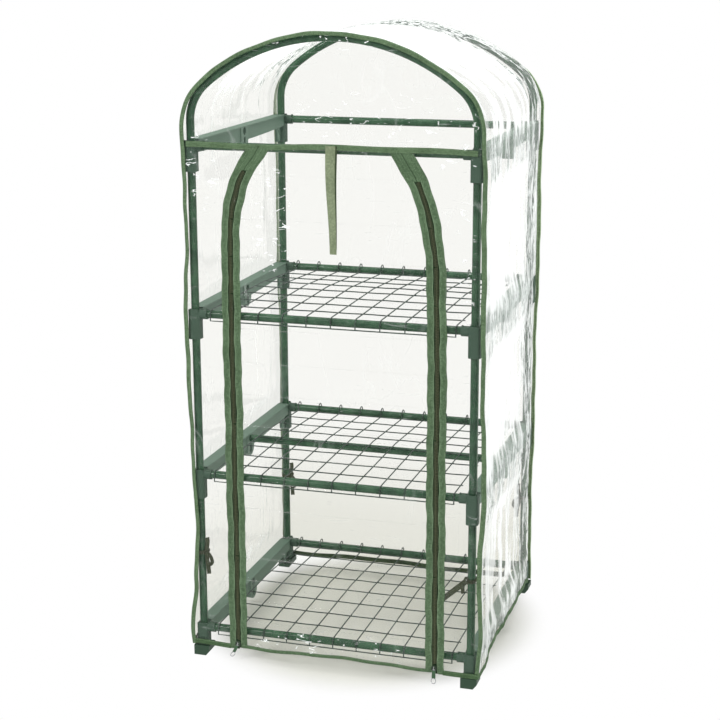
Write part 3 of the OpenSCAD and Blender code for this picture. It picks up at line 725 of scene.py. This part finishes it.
def front_strip_point(side):
    """The fixed strip of front film between the cover's edge and a zip."""
    def point(u, v):
        z = lerp(HEM_Z + 1 * MM, HEADER_Z + 4 * MM, v)
        x = lerp(zip_centre(side, z) + side * FILM_EDGE, side * (COVER_W + front_edge(side, z)), u)
        return (x, FILM_Y - (small_folds(x * 1.5, 9.0 + side, z * 0.5, 1.4) + 1.3 * MM) * ends(u, 0.12), z)
    return point


for name, rows, columns, point, film, node in (
        ("cover_side_and_roof_film", 64, 300, wrap_point, FILM_WRAP, "film_wrap"),
        ("cover_back_film", 120, 64, back_point, FILM_BACK, "film_back"),
        ("cover_front_arch_film", 30, 110, front_arch_point, FILM_FRONT, "film_front"),
        ("cover_front_left_film", 150, 14, front_strip_point(-1), FILM_FRONT, None),
        ("cover_front_right_film", 150, 14, front_strip_point(1), FILM_FRONT, None)):
    attach(grid(name, rows, columns, point, film), "frame", node)


# ---------------------------------------------------------------- the door, strip by strip
STRIPS = 17
FOLD_GAP = 0.2 * MM  # a fold lies this far above the top of the CAD strip that hangs from it
FOLDS = [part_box(f"door_{n:02d}")[1].z + FOLD_GAP for n in range(1, STRIPS + 1)] + [DOOR_Z]
MIDDLES = [(a + b) / 2 for a, b in zip(FOLDS, FOLDS[1:])]
DOOR_COLUMNS = 56


def door_point(u, z):
    """The door's film at a share u of its width and a height z."""
    x = lerp(zip_centre(-1, z) + FILM_EDGE, zip_centre(1, z) - FILM_EDGE, u)
    centred = 1 - min(1, abs(x) / 0.19) ** 2
    bulge = (small_folds(x * 1.1, 2.0, z * 0.45, 1.5) + 1.6 * MM) * centred
    return (x, FILM_Y - bulge * ends(u, 0.06), z)


def whole_sheet_normals(obj, heights):
    """Gives a piece of the door the normals of the whole sheet, so that no seam shows between pieces."""
    du, dz = 1e-3, 0.5 * MM
    normals = []
    for z in heights:
        for u in shares(DOOR_COLUMNS):
            across = Vector(door_point(min(1, u + du), z)) - Vector(door_point(max(0, u - du), z))
            up = Vector(door_point(u, z + dz)) - Vector(door_point(u, z - dz))
            normals.append(across.cross(up).normalized())
    obj.data.normals_split_custom_set_from_vertices(normals)


def piece_bounds(n):
    """Top and bottom of the piece round fold n; piece 0 hangs from the header."""
    return (MIDDLES[n - 1] if n else HEADER_Z + 2 * MM), (MIDDLES[n] if n < STRIPS - 1 else DOOR_Z)


def hang(obj):
    """Bakes a piece's placement into its mesh."""
    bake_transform(obj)


for n in range(STRIPS):
    high, low = piece_bounds(n)
    rows = max(4, round((high - low) / (6.5 * MM)))
    sheet = grid(f"door_film_{n + 1:02d}", rows, DOOR_COLUMNS, lambda u, v: door_point(u, lerp(high, low, v)),
                 FILM_DOOR, flip=True)
    whole_sheet_normals(sheet, [lerp(high, low, v) for v in shares(rows)])
    sheet.data.materials.append(FILM_CUT)
    sheet.modifiers["thickness"].material_offset_rim = 1
    hang(sheet)
    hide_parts(f"door_{n + 1:02d}")


# ---------------------------------------------------------------- zips
TAPE_Y = FRONT_Y - 0.75 * MM
CHAIN_Y = FRONT_Y - 1.0 * MM
TOOTH_PITCH = 2.9 * MM
TOOTH = [(-0.9, 0.35, 0.55), (-0.4, 0.62, 0.9), (0.5, 0.55, 0.85), (1.6, 0.42, 0.8), (3.4, 0.8, 1.0),
         (3.9, 0.5, 0.6)]  # reach, half height and half depth along a tooth, in mm
OCTAGON = [(1, 0.5), (0.5, 1), (-0.5, 1), (-1, 0.5), (-1, -0.5), (-0.5, -1), (0.5, -1), (1, -0.5)]
ZIP_PARTS = {"tape": ZIP_TAPE, "chain": CHAIN_TAPE_AND_SHADE, "thread": THREAD, "teeth": TEETH}


def zip_path(side, across_offset, high, low, y, count, seed):
    """Path for a tape beside a zip, from high to low. Its edge wobbles by up to 1.2 mm."""
    path = []
    for z in (lerp(high, low, t) for t in shares(count)):
        offset = across_offset + (0.7 * MM * math.sin(z * 61 + seed) + 0.5 * MM * math.sin(z * 149 + 2 * seed))
        # a tape keeps its width square to the zip, so it is wider along x where the zip slants
        stretch = 1 / abs(zip_lean(side, z)[1].x)
        p = Vector((zip_centre(side, z) + side * offset * stretch, y + 0.4 * MM * math.sin(z * 31 + seed), z))
        path.append((p, Vector((side * stretch, 0, 0)), FORWARD))
    return path


def zip_half(parts, side, inward, high, low):
    """Edge tape, chain tape, piping, flap and stitching of one half of a zip between two heights."""
    sign = -1 if inward else 1
    count = max(4, round((high - low) / (7 * MM)))

    def run(offset, y, end=low, steps=count, seed=side + sign):
        return zip_path(side, sign * offset, high, end, y, steps, seed)

    edge = run(CHANNEL + TAPE_W / 2, TAPE_Y)
    tape(parts["tape"], edge, TAPE_W, 1.1 * MM, 0.25 * MM)
    tape(parts["thread"], run(CHANNEL + 0.9 * MM, TAPE_Y - 0.55 * MM), 1.3 * MM, 0.7 * MM)
    stitch_line(parts["thread"], edge, -sign * (TAPE_W / 2 - 3.4 * MM), 0.72 * MM)
    stitch_line(parts["thread"], edge, sign * (TAPE_W / 2 - 1.8 * MM), 0.72 * MM)
    flap_low = max(low, FLAP_LOW[side])
    if high > flap_low:
        # the folded end of the tape lies over the teeth, in two pleats
        rows = max(2, round((high - flap_low) / (7 * MM)))
        behind = 0.0 if inward else 0.5
        for offset, width, lift in ((3.9, 10.4, 1.7), (10.8, 8.6, 1.1)):
            pleat = run(offset * MM, TAPE_Y - (lift - behind) * MM, flap_low, rows, 2.0 * side)
            # a thin dark strip in the fold of each pleat: painted shade
            groove_shade = run((offset - width / 2 + 1.6) * MM, TAPE_Y - (lift - behind + 0.45) * MM, flap_low, rows,
                         2.0 * side)
            tape(parts["tape"], pleat, width * MM, 0.9 * MM, 0.25 * MM)
            tape(parts["chain"], groove_shade, 1.1 * MM, 0.5 * MM)
            stitch_line(parts["thread"], pleat, sign * (width / 2 - 1.2) * MM, 0.6 * MM)
    # the fixed half reaches a little past the middle, behind the door's half
    middle_line, width, depth = (3.8, 7.4, 0.35) if inward else (2.9, 9.4, 1.0)
    # the dark chain tape also paints the shade in the gap beside the teeth
    tape(parts["chain"], run(middle_line * MM, CHAIN_Y + depth * MM), width * MM, 0.6 * MM)


def add_teeth(builder, side, inward, high, low):
    """Moulded teeth of one half: each has a foot on the tape, a neck and a head that reaches past the middle."""
    sign = -1 if inward else 1
    z = math.floor(high / TOOTH_PITCH) * TOOTH_PITCH - (TOOTH_PITCH / 2 if inward else 0)
    while z > low:
        if SLIDER.z + 8 * MM < z < FLAP_LOW[side] - 1 * MM:
            along, across = zip_lean(side, z)
            centre = Vector((zip_centre(side, z), FRONT_Y - 1.9 * MM, z))
            sweep(builder, [[centre + across * sign * reach * MM + along * a * tall * MM + FORWARD * b * deep * MM
                             for a, b in OCTAGON] for reach, tall, deep in TOOTH])
        z -= TOOTH_PITCH


def sewn(builder, name, material, node=None, fold=None):
    """Makes one sewn piece: on the frame, or, for a piece of the door, with its placement baked into its mesh."""
    if not builder.verts:
        return
    obj = builder.build(name, material, 50)
    if fold is None:
        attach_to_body(obj, "frame")
    else:
        hang(obj)
    if node:
        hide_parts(node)


def sewn_band(name, material, node, path, width, seams, lift):
    """A folded tape along a path, with its rows of stitches as a second piece."""
    cloth, threads = Builder(), Builder()
    tape(cloth, path, width, 1.5 * MM, 0.3 * MM)
    for seam in seams:
        stitch_line(threads, path, seam, lift)
    sewn(cloth, name, material, node)
    sewn(threads, name.removesuffix("_sewn") + "_thread", THREAD)


def door_hem_point(t):
    """The door's own hem: a narrow folded tape with a loose wave."""
    x = lerp(zip_centre(-1, DOOR_Z) + CHANNEL, zip_centre(1, DOOR_Z) - CHANNEL, t)
    z = DOOR_Z + 3.5 * MM + 2.2 * MM * math.sin(x * 21 + 0.8) + 0.8 * MM * math.sin(x * 63)
    return (Vector((x, FRONT_Y - 1.0 * MM - 1.2 * MM * math.sin(x * 27), z)), Vector((0, 0.12, 1)).normalized(),
            Vector((0, -1, 0.12)).normalized())


for side, word in SIDES:
    parts = {label: Builder() for label in ZIP_PARTS}
    zip_half(parts, side, False, HEADER_Z + 6 * MM, HEM_Z + 1 * MM)
    add_teeth(parts["teeth"], side, False, HEADER_Z, HEM_Z)
    for label, material in ZIP_PARTS.items():
        sewn(parts[label], f"zip_{word}_outer_{label}", material, f"zip_{word}" if label == "tape" else None)

for n in range(STRIPS):
    high, low = piece_bounds(n)
    parts = {label: Builder() for label in ZIP_PARTS}
    for side, _ in SIDES:
        zip_half(parts, side, True, high, low)
        add_teeth(parts["teeth"], side, True, high, low)
    if n == STRIPS - 1:
        hem_path = [door_hem_point(t) for t in shares(60)]
        tape(parts["tape"], hem_path, 7.0 * MM, 1.4 * MM, 0.2 * MM)
        stitch_line(parts["thread"], hem_path, 2.0 * MM, 0.85 * MM)
    for label, material in ZIP_PARTS.items():
        sewn(parts[label], f"door_{label}_{n + 1:02d}", material, fold=n)


# ---------------------------------------------------------------- bindings and header
def binding_profile(w, out):
    """Folded tape w mm wide round a sewn edge: (inwards from the edge, along out) pairs, a closed loop."""
    pts = [(w, 0.1), (w, 1.5), (w - 0.8, 1.9), (w * 0.72, 2.1), (w * 0.45, 2.3), (w * 0.2, 2.3), (0.9, 2.1),
           (-0.2, 1.6), (-0.9, 0.6), (-1.1, -1.2), (-0.9, -3.4), (-0.6, -4.6), (0.0, -4.7), (0.1, -3.2),
           (0.0, -1.0), (0.5, 0.1)]
    return [(a * MM, b * out * MM) for a, b in pts]


def arch_binding(name, node, cloth, y0, out, edge, seed, proud=0.0, sunk=0.0):
    """Tape round an end of the cover, flat over the arch and half rolled under along the legs."""
    green, threads = Builder(), Builder()
    rings, path = [], []
    for s in (lerp(2 * MM, ARCH.length - 2 * MM, t) for t in shares(330)):
        x, z, nx, nz = ARCH.at(s)
        shift = edge(x, z) * abs(nx) + 0.7 * MM * math.sin(s * 37 + seed) + 0.4 * MM * math.sin(s * 91 + seed)
        shift += proud * abs(nx) ** 3 - sunk * max(nz, 0)
        lean = 0.8 * MM * math.sin(s * 19 + 2 * seed) * out
        width = lerp(7.4, 6.6, step((z - 0.98) / 0.12)) + 0.9 * math.sin(s * 13)
        p, inward = Vector((x + nx * shift, y0 + lean, z + nz * shift)), Vector((-nx, 0, -nz))
        rings.append([p + inward * a + BACKWARD * b for a, b in binding_profile(width, out)])
        path.append((p + inward * (width - 2.4) * MM, inward, BACKWARD * out))
    sweep(green, rings)
    stitch_line(threads, path, 0, 2.05 * MM)
    sewn(green, name, cloth, node)
    sewn(threads, name + "_thread", THREAD)


arch_binding("binding_front_tape", "binding_front", TAPE, FRONT_Y, -1, front_edge, 0.4)
# the rear binding takes the lighter tape, painted light
arch_binding("binding_rear_tape", "binding_rear", TAPE_REAR_LIT, REAR_Y, 1, rear_edge, 1.9, 7.5 * MM, 4 * MM)


def header_point(t):
    """The tape over the door, in a slow double wave."""
    half = COVER_W - 11 * MM
    x = lerp(-half, half, t)
    z = (HEADER_Z + HEADER_TOP) / 2 + 1.8 * MM * math.sin(x * 11 + 0.6) + 1.1 * MM * math.sin(x * 27 + 2)
    slope = 1.8 * MM * 11 * math.cos(x * 11 + 0.6) + 1.1 * MM * 27 * math.cos(x * 27 + 2)
    return (Vector((x, FRONT_Y - 1.6 * MM - 0.6 * MM * math.sin(x * 17), z)),
            Vector((-slope, 0, 1)).normalized(), FORWARD)


sewn_band("header_tape_sewn", TAPE, "header_tape", [header_point(t) for t in shares(90)], 11 * MM,
          (3.6 * MM, -3.6 * MM), 1.0 * MM)


# ---------------------------------------------------------------- hem round the lower edge
def hem_height(t):
    return HEM_Z + 5.5 * MM + 2.0 * MM * math.sin(t * 17) + 1.0 * MM * math.sin(t * 41 + 1)


def side_hem(side, v):
    """A point of the hem along a side, on the film's lower edge, and the side it faces."""
    x, y, z = wrap_point((1 + side) / 2, v)
    return Vector((x + side * 1.3 * MM, y, z + hem_height(y + 2 * side) - HEM_Z)), Vector((side, 0, 0))


def front_hem(x, drawn, phase):
    """A point of the hem in front, at a share drawn of its lean towards the corner."""
    return Vector((x, FRONT_Y - 1.3 * MM - 0.6 * MM * drawn, hem_height(x + phase))), FORWARD


gap_left = zip_centre(-1, HEM_Z) - CHANNEL - TAPE_W + 2 * MM
gap_right = zip_centre(1, HEM_Z) + CHANNEL + TAPE_W - 2 * MM
out_w = COVER_W + 1.4 * MM
short, long = shares(8), shares(50)
hem_stops = [front_hem(lerp(gap_left, -out_w - 3 * MM, t), t, 0) for t in short]
hem_stops += [side_hem(-1, t) for t in long[1:-1]]
for t in long:
    x = lerp(-out_w + 6 * MM, out_w - 6 * MM, t)
    y = REAR_Y + 1.3 * MM + 1.5 * MM * math.sin(t * math.pi)
    hem_stops.append((Vector((x, y, hem_height(x + 2))), BACKWARD))
hem_stops += [side_hem(1, 1 - t) for t in long[1:-1]]
hem_stops += [front_hem(lerp(out_w + 3 * MM, gap_right, t), 1 - t, 4) for t in short]
# each point faces the mean of its neighbours' sides, so the hem turns smoothly at the corners
hem_path = []
for i, (p, _) in enumerate(hem_stops):
    near = [out for _, out in hem_stops[max(0, i - 2):i + 3]]
    hem_path.append((p, UP, sum(near, Vector()).normalized()))
sewn_band("hem_tape", TAPE_HEM, "hem", hem_path, 10.5 * MM, (3.3 * MM,), 0.95 * MM)


# ---------------------------------------------------------------- sliders and pulls
PULL_ABOVE_PIN = 1.2 * MM  # the pull's CAD box goes on this far above its pin
BRIDGE = [(2.4, 5.8), (0.6, 5.4), (-1.3, 3.4), (-1.8, 0.8), (-1.0, -1.9), (0.8, -3.1), (2.4, -3.4)]
TAB = [(-2.6, 1.8, 0.5), (-3.2, 2.9, 0.7), (-5, 3.3, 0.75), (-9, 3.6, 0.75), (-16, 4.0, 0.75),
       (-19.2, 3.8, 0.7), (-20.0, 2.4, 0.5)]  # height, half width and half thickness, in mm from the pivot
TAB_SECTION = [(1, 0.4), (0.8, 1), (-0.8, 1), (-1, 0.4), (-1, -0.4), (-0.8, -1), (0.8, -1), (1, -0.4)]
EYE = (2.2, 1.6, -1.4, 0.5, 20, 8)  # half width, half height, middle, wire radius in mm, then steps and sides
RING = (4.6, 5.6, -24.8, 0.85, 28, 10)
PULL_TILT = {-1: math.radians(27), 1: math.radians(1.5)}


def rounded_plate(builder, centre, half_w, half_h, thick, top_share, bulge=0.0):
    """A slider plate: a rounded outline, wider at one end, with softened rims and a bulging front."""
    outline, size = [], 28
    for c, s in ((math.cos(a), math.sin(a)) for a in turns(size)):
        w = half_w * (lerp(top_share, 1.0, (1 - s) / 2))
        outline.append((w * math.copysign(abs(c) ** 0.55, c), half_h * math.copysign(abs(s) ** 0.7, s)))
    rims = ((-0.5, 0.88), (-0.42, 0.97), (0.0, 1.0), (0.42, 0.97), (0.5, 0.88))
    verts, faces = skin([[(centre[0] + x * inset, centre[1] + share * thick, centre[2] + z * inset)
                          for x, z in outline] for share, inset in rims], caps=False)
    front_mid, back_mid, last = len(verts), len(verts) + 1, (len(rims) - 1) * size
    verts += [(centre[0], centre[1] - thick * (0.5 + bulge), centre[2]),
              (centre[0], centre[1] + thick * 0.5, centre[2])]
    for j in range(size):
        k = (j + 1) % size
        faces += [(front_mid, k, j), (back_mid, last + j, last + k)]
    builder.add(verts, faces)


for side, word in SIDES:
    slider, pull = f"slider_{word}", f"pull_{word}"
    low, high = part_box(slider)
    mid_z = (low.z + high.z) / 2
    cx = zip_centre(side, mid_z)
    body, lug, eye, tab, ring = (Builder() for _ in range(5))
    plate_y = low.y + 2.75 * MM
    rounded_plate(body, (cx, plate_y, mid_z), 5.6 * MM, 5.9 * MM, 1.5 * MM, 0.82, 0.25)
    rounded_plate(body, (cx, FRONT_Y + 0.7 * MM, mid_z), 5.6 * MM, 5.6 * MM, 1.1 * MM, 0.82)
    for flange in (-1, 1):
        round_wire(body, [(cx + flange * 5.3 * MM, plate_y + 1.0 * MM, mid_z + z * MM) for z in (-4.2, -2, 1, 3.6)],
                   0.55 * MM, (0, 1, 0))
    attach(body.build(f"{slider}_body", ENAMEL, 40), slider, slider)

    pull_low, pull_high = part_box(pull)
    pivot = Vector((cx, (pull_low.y + pull_high.y) / 2, pull_high.z - PULL_ABOVE_PIN))
    round_wire(lug, [pivot + Vector((0, y * MM, z * MM)) for y, z in BRIDGE], 0.65 * MM, (1, 0, 0), 10)
    attach(lug.build(f"{slider}_bridge", SILVER), slider)

    # the pull hangs from the bridge: a wire eye, an enamelled tab and a ring at its end
    turn_c, turn_s = math.cos(PULL_TILT[side]), math.sin(PULL_TILT[side])

    def hung(x, y, z):
        """A point given in mm from the pivot, leaning sideways with the pull."""
        return Vector((pivot.x + (x * turn_c + z * turn_s) * MM, pivot.y + y * MM, pivot.z + z * turn_c * MM))

    for loop, (half_w, half_h, mid, radius, steps, sides) in ((eye, EYE), (ring, RING)):
        points = [hung(half_w * math.cos(a), 0, half_h * math.sin(a) + mid) for a in turns(steps)]
        wire_loop(loop, points, radius * MM, sides)
    sweep(tab, [[hung(a * half, b * thick, z) for a, b in TAB_SECTION] for z, half, thick in TAB])
    attach(eye.build(f"{pull}_eye", SILVER, 45), pull)
    attach(tab.build(f"{pull}_tab", PULL_TAB, 45), pull, pull)
    attach(ring.build(f"{pull}_ring", SILVER, 45), pull)


# ---------------------------------------------------------------- roll strap
STRAP_LINKS = ["strap_upper", "strap_middle", "strap_lower"]
STRAP_TOP, STRAP_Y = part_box(STRAP_LINKS[0])[1].z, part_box(STRAP_LINKS[0])[1].y
STRAP_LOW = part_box(STRAP_LINKS[-1])[0].z
STRAP_FOLDS = [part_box(name)[1].z + FOLD_GAP for name in STRAP_LINKS] + [STRAP_LOW]
STRAP_X = 5 * MM


def strap_rings(high, low, back):
    """The strap's sections between two heights; its back layer peeps out on the right."""
    rings, rows = [], max(4, round((high - low) / (3.5 * MM)))
    for z in (lerp(high, low, v) for v in shares(rows)):
        t = (STRAP_TOP - z) / (STRAP_TOP - STRAP_LOW)
        x = STRAP_X + (3 * t * t - 1.2 * math.sin(t * 5)) * MM + (3.4 * MM * (1 - t * t) if back else 0)
        y = STRAP_Y - (0.15 if back else 1.15) * MM - 0.5 * MM * math.sin(t * 7)
        profile = tape_profile(lerp(19.5, 13.5, step(t)) * MM, 0.85 * MM, 0.15 * MM)
        rings.append([Vector((x + a, y - o, z)) for a, o in profile])
    return rings


for n, link in enumerate(STRAP_LINKS):
    high = (STRAP_FOLDS[n] + STRAP_FOLDS[n - 1]) / 2 if n else STRAP_TOP
    low = (STRAP_FOLDS[n] + STRAP_FOLDS[n + 1]) / 2 if n < 2 else STRAP_LOW - 5 * MM
    # the back layer takes a darker copy of the strap's colour, painted shade
    for back, material, label in ((False, STRAP, "face"), (True, STRAP_BACK_SHADED, "back")):
        builder = Builder()
        sweep(builder, strap_rings(high, low + (9 * MM if back and n == 2 else 0), back))
        obj = builder.build(f"{link}_{label}", material, 50)
        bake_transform(obj)
        if not back:
            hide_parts(link)


# ---------------------------------------------------------------- ties
def smooth_path(pts, per=8):
    """Catmull-Rom curve through the points."""
    out, last = [], len(pts) - 1
    for i in range(last):
        a, b, c, d = pts[max(i - 1, 0)], pts[i], pts[i + 1], pts[min(i + 2, last)]
        for t in (k / per for k in range(per)):
            out.append(0.5 * ((2 * b) + (c - a) * t + (2 * a - 5 * b + 4 * c - d) * t * t
                              + (3 * b - a - 3 * c + d) * t**3))
    return out + [pts[-1]]


def ribbon(builder, points, width, thickness, out, twist):
    """A soft tape along a curve, in mm; out is the side it faces, twist turns it along the way."""
    curve = smooth_path(points)
    path, last = [], len(curve) - 1
    for i, p in enumerate(curve):
        ahead = (curve[min(i + 1, last)] - curve[max(i - 1, 0)]).normalized()
        across = ahead.cross(Vector(out)).normalized()
        o = across.cross(ahead).normalized()
        a = twist * i / last
        path.append((p, across * math.cos(a) + o * math.sin(a), o * math.cos(a) - across * math.sin(a)))
    tape(builder, path, width * MM, thickness * MM, 0.1 * MM, 5)


def offsets(origin, mirror, points):
    """Points from offsets in mm, with x mirrored for the posts on the left."""
    return [Vector(origin) + Vector((mirror * a, b, c)) * MM for a, b, c in points]


def tie_band(builder, x, y, z):
    """Two turns round the post, at a slight slope."""
    path, rounds = [], 2
    for share in shares(rounds * 40):
        a = 2 * math.pi * rounds * share
        out = Vector((math.cos(a), math.sin(a), 0))
        p = Vector((x, y, z + 2.5 * MM * math.sin(a) + 2 * MM * share)) + out * (TUBE_R + 0.9 * MM + 0.5 * MM * share)
        path.append((p, UP, out))
    tape(builder, path, 7 * MM, 0.7 * MM, 0.1 * MM, 5)


# offsets from the knot on the post's inner side; width, thickness, out and twist
KNOT = [(3, 0, -4), (-2, -3, -1), (-3, 1, 4), (2, -1, 3), (1, -4, -3)]
TAILS = [([(0, -2, 0), (-1, -3, 9), (-3, -3.5, 21), (-2, -3, 31)], 8.5, 0.8, (0, -1, 0), -0.6),
         ([(0, -2, 0), (-9, -5, -8), (-12, -4, -20), (-6, -2, -27), (-1, -1, -18), (0, -2, -4)],
          7.5, 0.8, (0, -1, 0.2), 0.5),
         ([(0, -4, -2), (-2, -5, -16), (-4, -5, -30), (-5, -4.5, -46)], 8.5, 0.8, (0, -1, 0), 0.35)]
# the front right tie runs from the seam inside the zip up to the post, and hangs from the post's inner side
SEAM_RUN = [(0, 3, -48), (12, 4, -36), (30, 4.5, -20)]
SEAM_END = (-1, -6, -1)
SEAM_TAILS = [([(-2, -7, 1), (-6, -8, -6), (-8, -8, -15), (-7, -7.5, -27)], 8, 0.8, (0, -1, 0), 0.9),
              ([(3, -9, -5), (-3, -10, 0), (-2, -8, 6), (3, -8, 3)], 5, 1.0, (0, -1, 0), 0.6)]

tie_z = middle("ties").z + 25 * MM
ties = Builder()
for sx in (-1, 1):
    for sy in (-1, 1):
        x, y = sx * POST_X, sy * POST_Y
        tie_band(ties, x, y, tie_z)
        if (sx, sy) == (1, -1):
            inner = (x - TUBE_R, y, tie_z)
            seam = (zip_centre(1, tie_z - 0.05) + 9 * MM, FRONT_Y, tie_z)
            ribbon(ties, offsets(seam, 1, SEAM_RUN) + offsets(inner, 1, [SEAM_END]), 11, 0.8, (0.1, -1, 0), 0.25)
            tails = SEAM_TAILS
        else:
            inner = (x - sx * (TUBE_R + 3.5 * MM), y + sy * 1.5 * MM, tie_z)
            ribbon(ties, offsets(inner, sx, KNOT), 6, 1.0, (-sx * 0.5, -0.8, 0.3), 0.8)
            tails = TAILS
        for points, *look in tails:
            ribbon(ties, offsets(inner, sx, points), *look)
sewn(ties, "post_ties", TIE, "ties")


# ---------------------------------------------------------------- wire shelves
WIRE_R = 1.25 * MM
WIRE_PITCH, LONG_WIRES = 49 * MM, 11
CROSS_PITCH, CROSS_WIRES = 65.5 * MM, 7
HOOK_R, HOOK_LOW = 10 * MM, 11 * MM  # the front hook: radius and how far it reaches down
LOOP_R, LOOP_Z = 10.5 * MM, 3 * MM  # the loop over the rear tube: radius and height of its middle
DIP = 4 * MM
SHELF_TOP = TUBE_R + 0.3 * MM + WIRE_R
SHELF_REAR, SHELF_BEND = POST_Y - LOOP_R, 20 * MM  # from the bend the wires slope down to the rear


def arc(y, z, radius, start, end):
    angles = [math.radians(a) for a in range(start, end, -15)]
    return [(y + radius * math.cos(a), z + radius * math.sin(a)) for a in angles]


def shelf_path(level):
    """Centre line of a long wire: front hook, flat run, slight dip, loop over the rear tube."""
    pts = [(-POST_Y - HOOK_R, -HOOK_LOW), (-POST_Y - HOOK_R, -DIP)]
    pts += arc(-POST_Y, SHELF_TOP - HOOK_R, HOOK_R, 180, 89)
    pts += [(SHELF_BEND, SHELF_TOP), (SHELF_REAR - 6 * MM, -DIP + 0.4 * MM), (SHELF_REAR, -DIP + 3 * MM)]
    pts += arc(POST_Y, LOOP_Z, LOOP_R, 180, -1)
    return [(y, z + level) for y, z in pts + [(POST_Y + LOOP_R, -DIP)]]


def wire_height(y, level):
    share = (y - SHELF_BEND) / (SHELF_REAR - SHELF_BEND)
    return level + (SHELF_TOP if y < SHELF_BEND else lerp(SHELF_TOP, -DIP, share))


def weld(builder, x, y, z):
    """A squashed bead where two wires are welded."""
    rings = [[(x + 1.9 * MM * r * math.cos(a), y + 1.9 * MM * r * math.sin(a), z + lift * MM) for a in turns(8)]
             for lift, r in ((-1.0, 0.0), (-0.6, 1.0), (0.6, 1.0), (1.0, 0.0))]
    builder.add(*skin(rings))


half_shelf = (LONG_WIRES - 1) / 2 * WIRE_PITCH
crossings = [-POST_Y + 50 * MM + i * CROSS_PITCH for i in range(CROSS_WIRES)]
for n, word in enumerate(("lower", "middle", "upper")):
    level, wires = LEVELS[n], Builder()
    for i in range(LONG_WIRES):
        x = -half_shelf + i * WIRE_PITCH
        drift = 0.5 * MM * math.sin(i * 2.3 + n)
        round_wire(wires, [(x + drift * (1 if abs(y) < 0.2 else 0), y, z) for y, z in shelf_path(level)], WIRE_R,
                   (1, 0, 0))
        for y in crossings:
            weld(wires, x, y, wire_height(y, level) - 1.1 * MM)
    for y in crossings:
        z, end = wire_height(y, level) - 2.0 * MM, half_shelf + 4 * MM
        round_wire(wires, [(lerp(-end, end, k / 30), y + 0.3 * MM * math.sin(k * 1.7 + n),
                            z + 0.3 * MM * math.sin(k * 1.1)) for k in range(31)], WIRE_R, tapered=True)
    # the two rims, under the hooks and in front of the loops
    for y, z in ((-POST_Y - HOOK_R, level - HOOK_LOW), (SHELF_REAR - WIRE_R, level - DIP)):
        end = half_shelf + 1 * MM
        round_wire(wires, [(lerp(-end, end, k / 10), y, z) for k in range(11)], WIRE_R, tapered=True)
    shelf = f"shelf_{word}"
    attach(wires.build(f"{shelf}_wires", WIRE, 60), shelf, shelf)


# ---------------------------------------------------------------- floor, light and camera
def floor_material():
    """Pale paper: a warm grey painted shadow under and in front of the frame, pure white further out."""
    n = material_nodes("floor_pale_painted_shadow")
    place = n.place()
    far = n.distance(place, (0.0, 0.02, 0.0), (0.34, 0.36, 1.0))
    # painted shadow: warm grey near the frame
    tone = n.mix(n.mul(n.noise(place, 7, 3, 0.5), 0.6), linear(219, 219, 211), linear(232, 231, 224))
    share = n.rise(n.mul(far, 0.5), 0.40, 0.56, "EASE")
    return n.finish(n.blend(share, n.shader("BsdfDiffuse", Color=tone),
                            n.shader("Emission", Color=(1, 1, 1, 1), Strength=1.0)))


floor_corners = [(-9, -9, 0), (9, -9, 0), (9, 14, 0), (-9, 14, 0)]
make("floor", floor_corners, [(0, 1, 2, 3)], floor_material(), smooth=False)

# the camera sees white all round; the object is lit by a world that is brighter above
scene = bpy.context.scene
scene.world = bpy.data.worlds.new("studio")
sky = Nodes(scene.world, "OutputWorld")
height = sky.parts(sky.put("TexCoord").outputs["Generated"])["Z"]
height = sky.put("Math", {0: height, 1: 0.5, 2: 0.5}, operation="MULTIPLY_ADD").outputs[0]
tone = sky.ramp(height, [(0.0, 0.55), (0.48, 0.55), (0.7, 1.0), (1.0, 1.0)])
sky.finish(sky.blend(sky.put("LightPath").outputs["Is Camera Ray"],
                     sky.shader("Background", Color=tone, Strength=0.6),
                     sky.shader("Background", Color=(1, 1, 1, 1))))

AIM = Vector((0, 0, 0.6))
for name, place, size, power in (("key", (-2.4, -3.0, 3.4), (1.6, 1.6), 95), ("top", (0.3, 0.4, 3.6), (2.4, 2.4), 60),
                                 ("fill", (3.2, -1.2, 1.6), (0.8, 2.0), 40)):
    lamp = bpy.data.lights.new(name, "AREA")
    lamp.shape, lamp.energy = "RECTANGLE", power
    lamp.size, lamp.size_y = size
    obj = bpy.data.objects.new(name, lamp)
    scene.collection.objects.link(obj)
    obj.location = place
    obj.rotation_euler = (AIM - Vector(place)).to_track_quat("-Z", "Y").to_euler()

lens = bpy.data.cameras.new("camera")
lens.lens, lens.sensor_width, lens.clip_start = 81.85, 36, 0.05
camera = bpy.data.objects.new("camera", lens)
scene.collection.objects.link(camera)
camera.location = (0.940, -3.150, 1.407)
camera.rotation_euler = (math.radians(90 - 14.16), math.radians(0.16), math.radians(16.95))
scene.camera = camera

scene.view_settings.view_transform = "Standard"
scene.cycles.transparent_max_bounces = 48
scene.cycles.max_bounces = 8
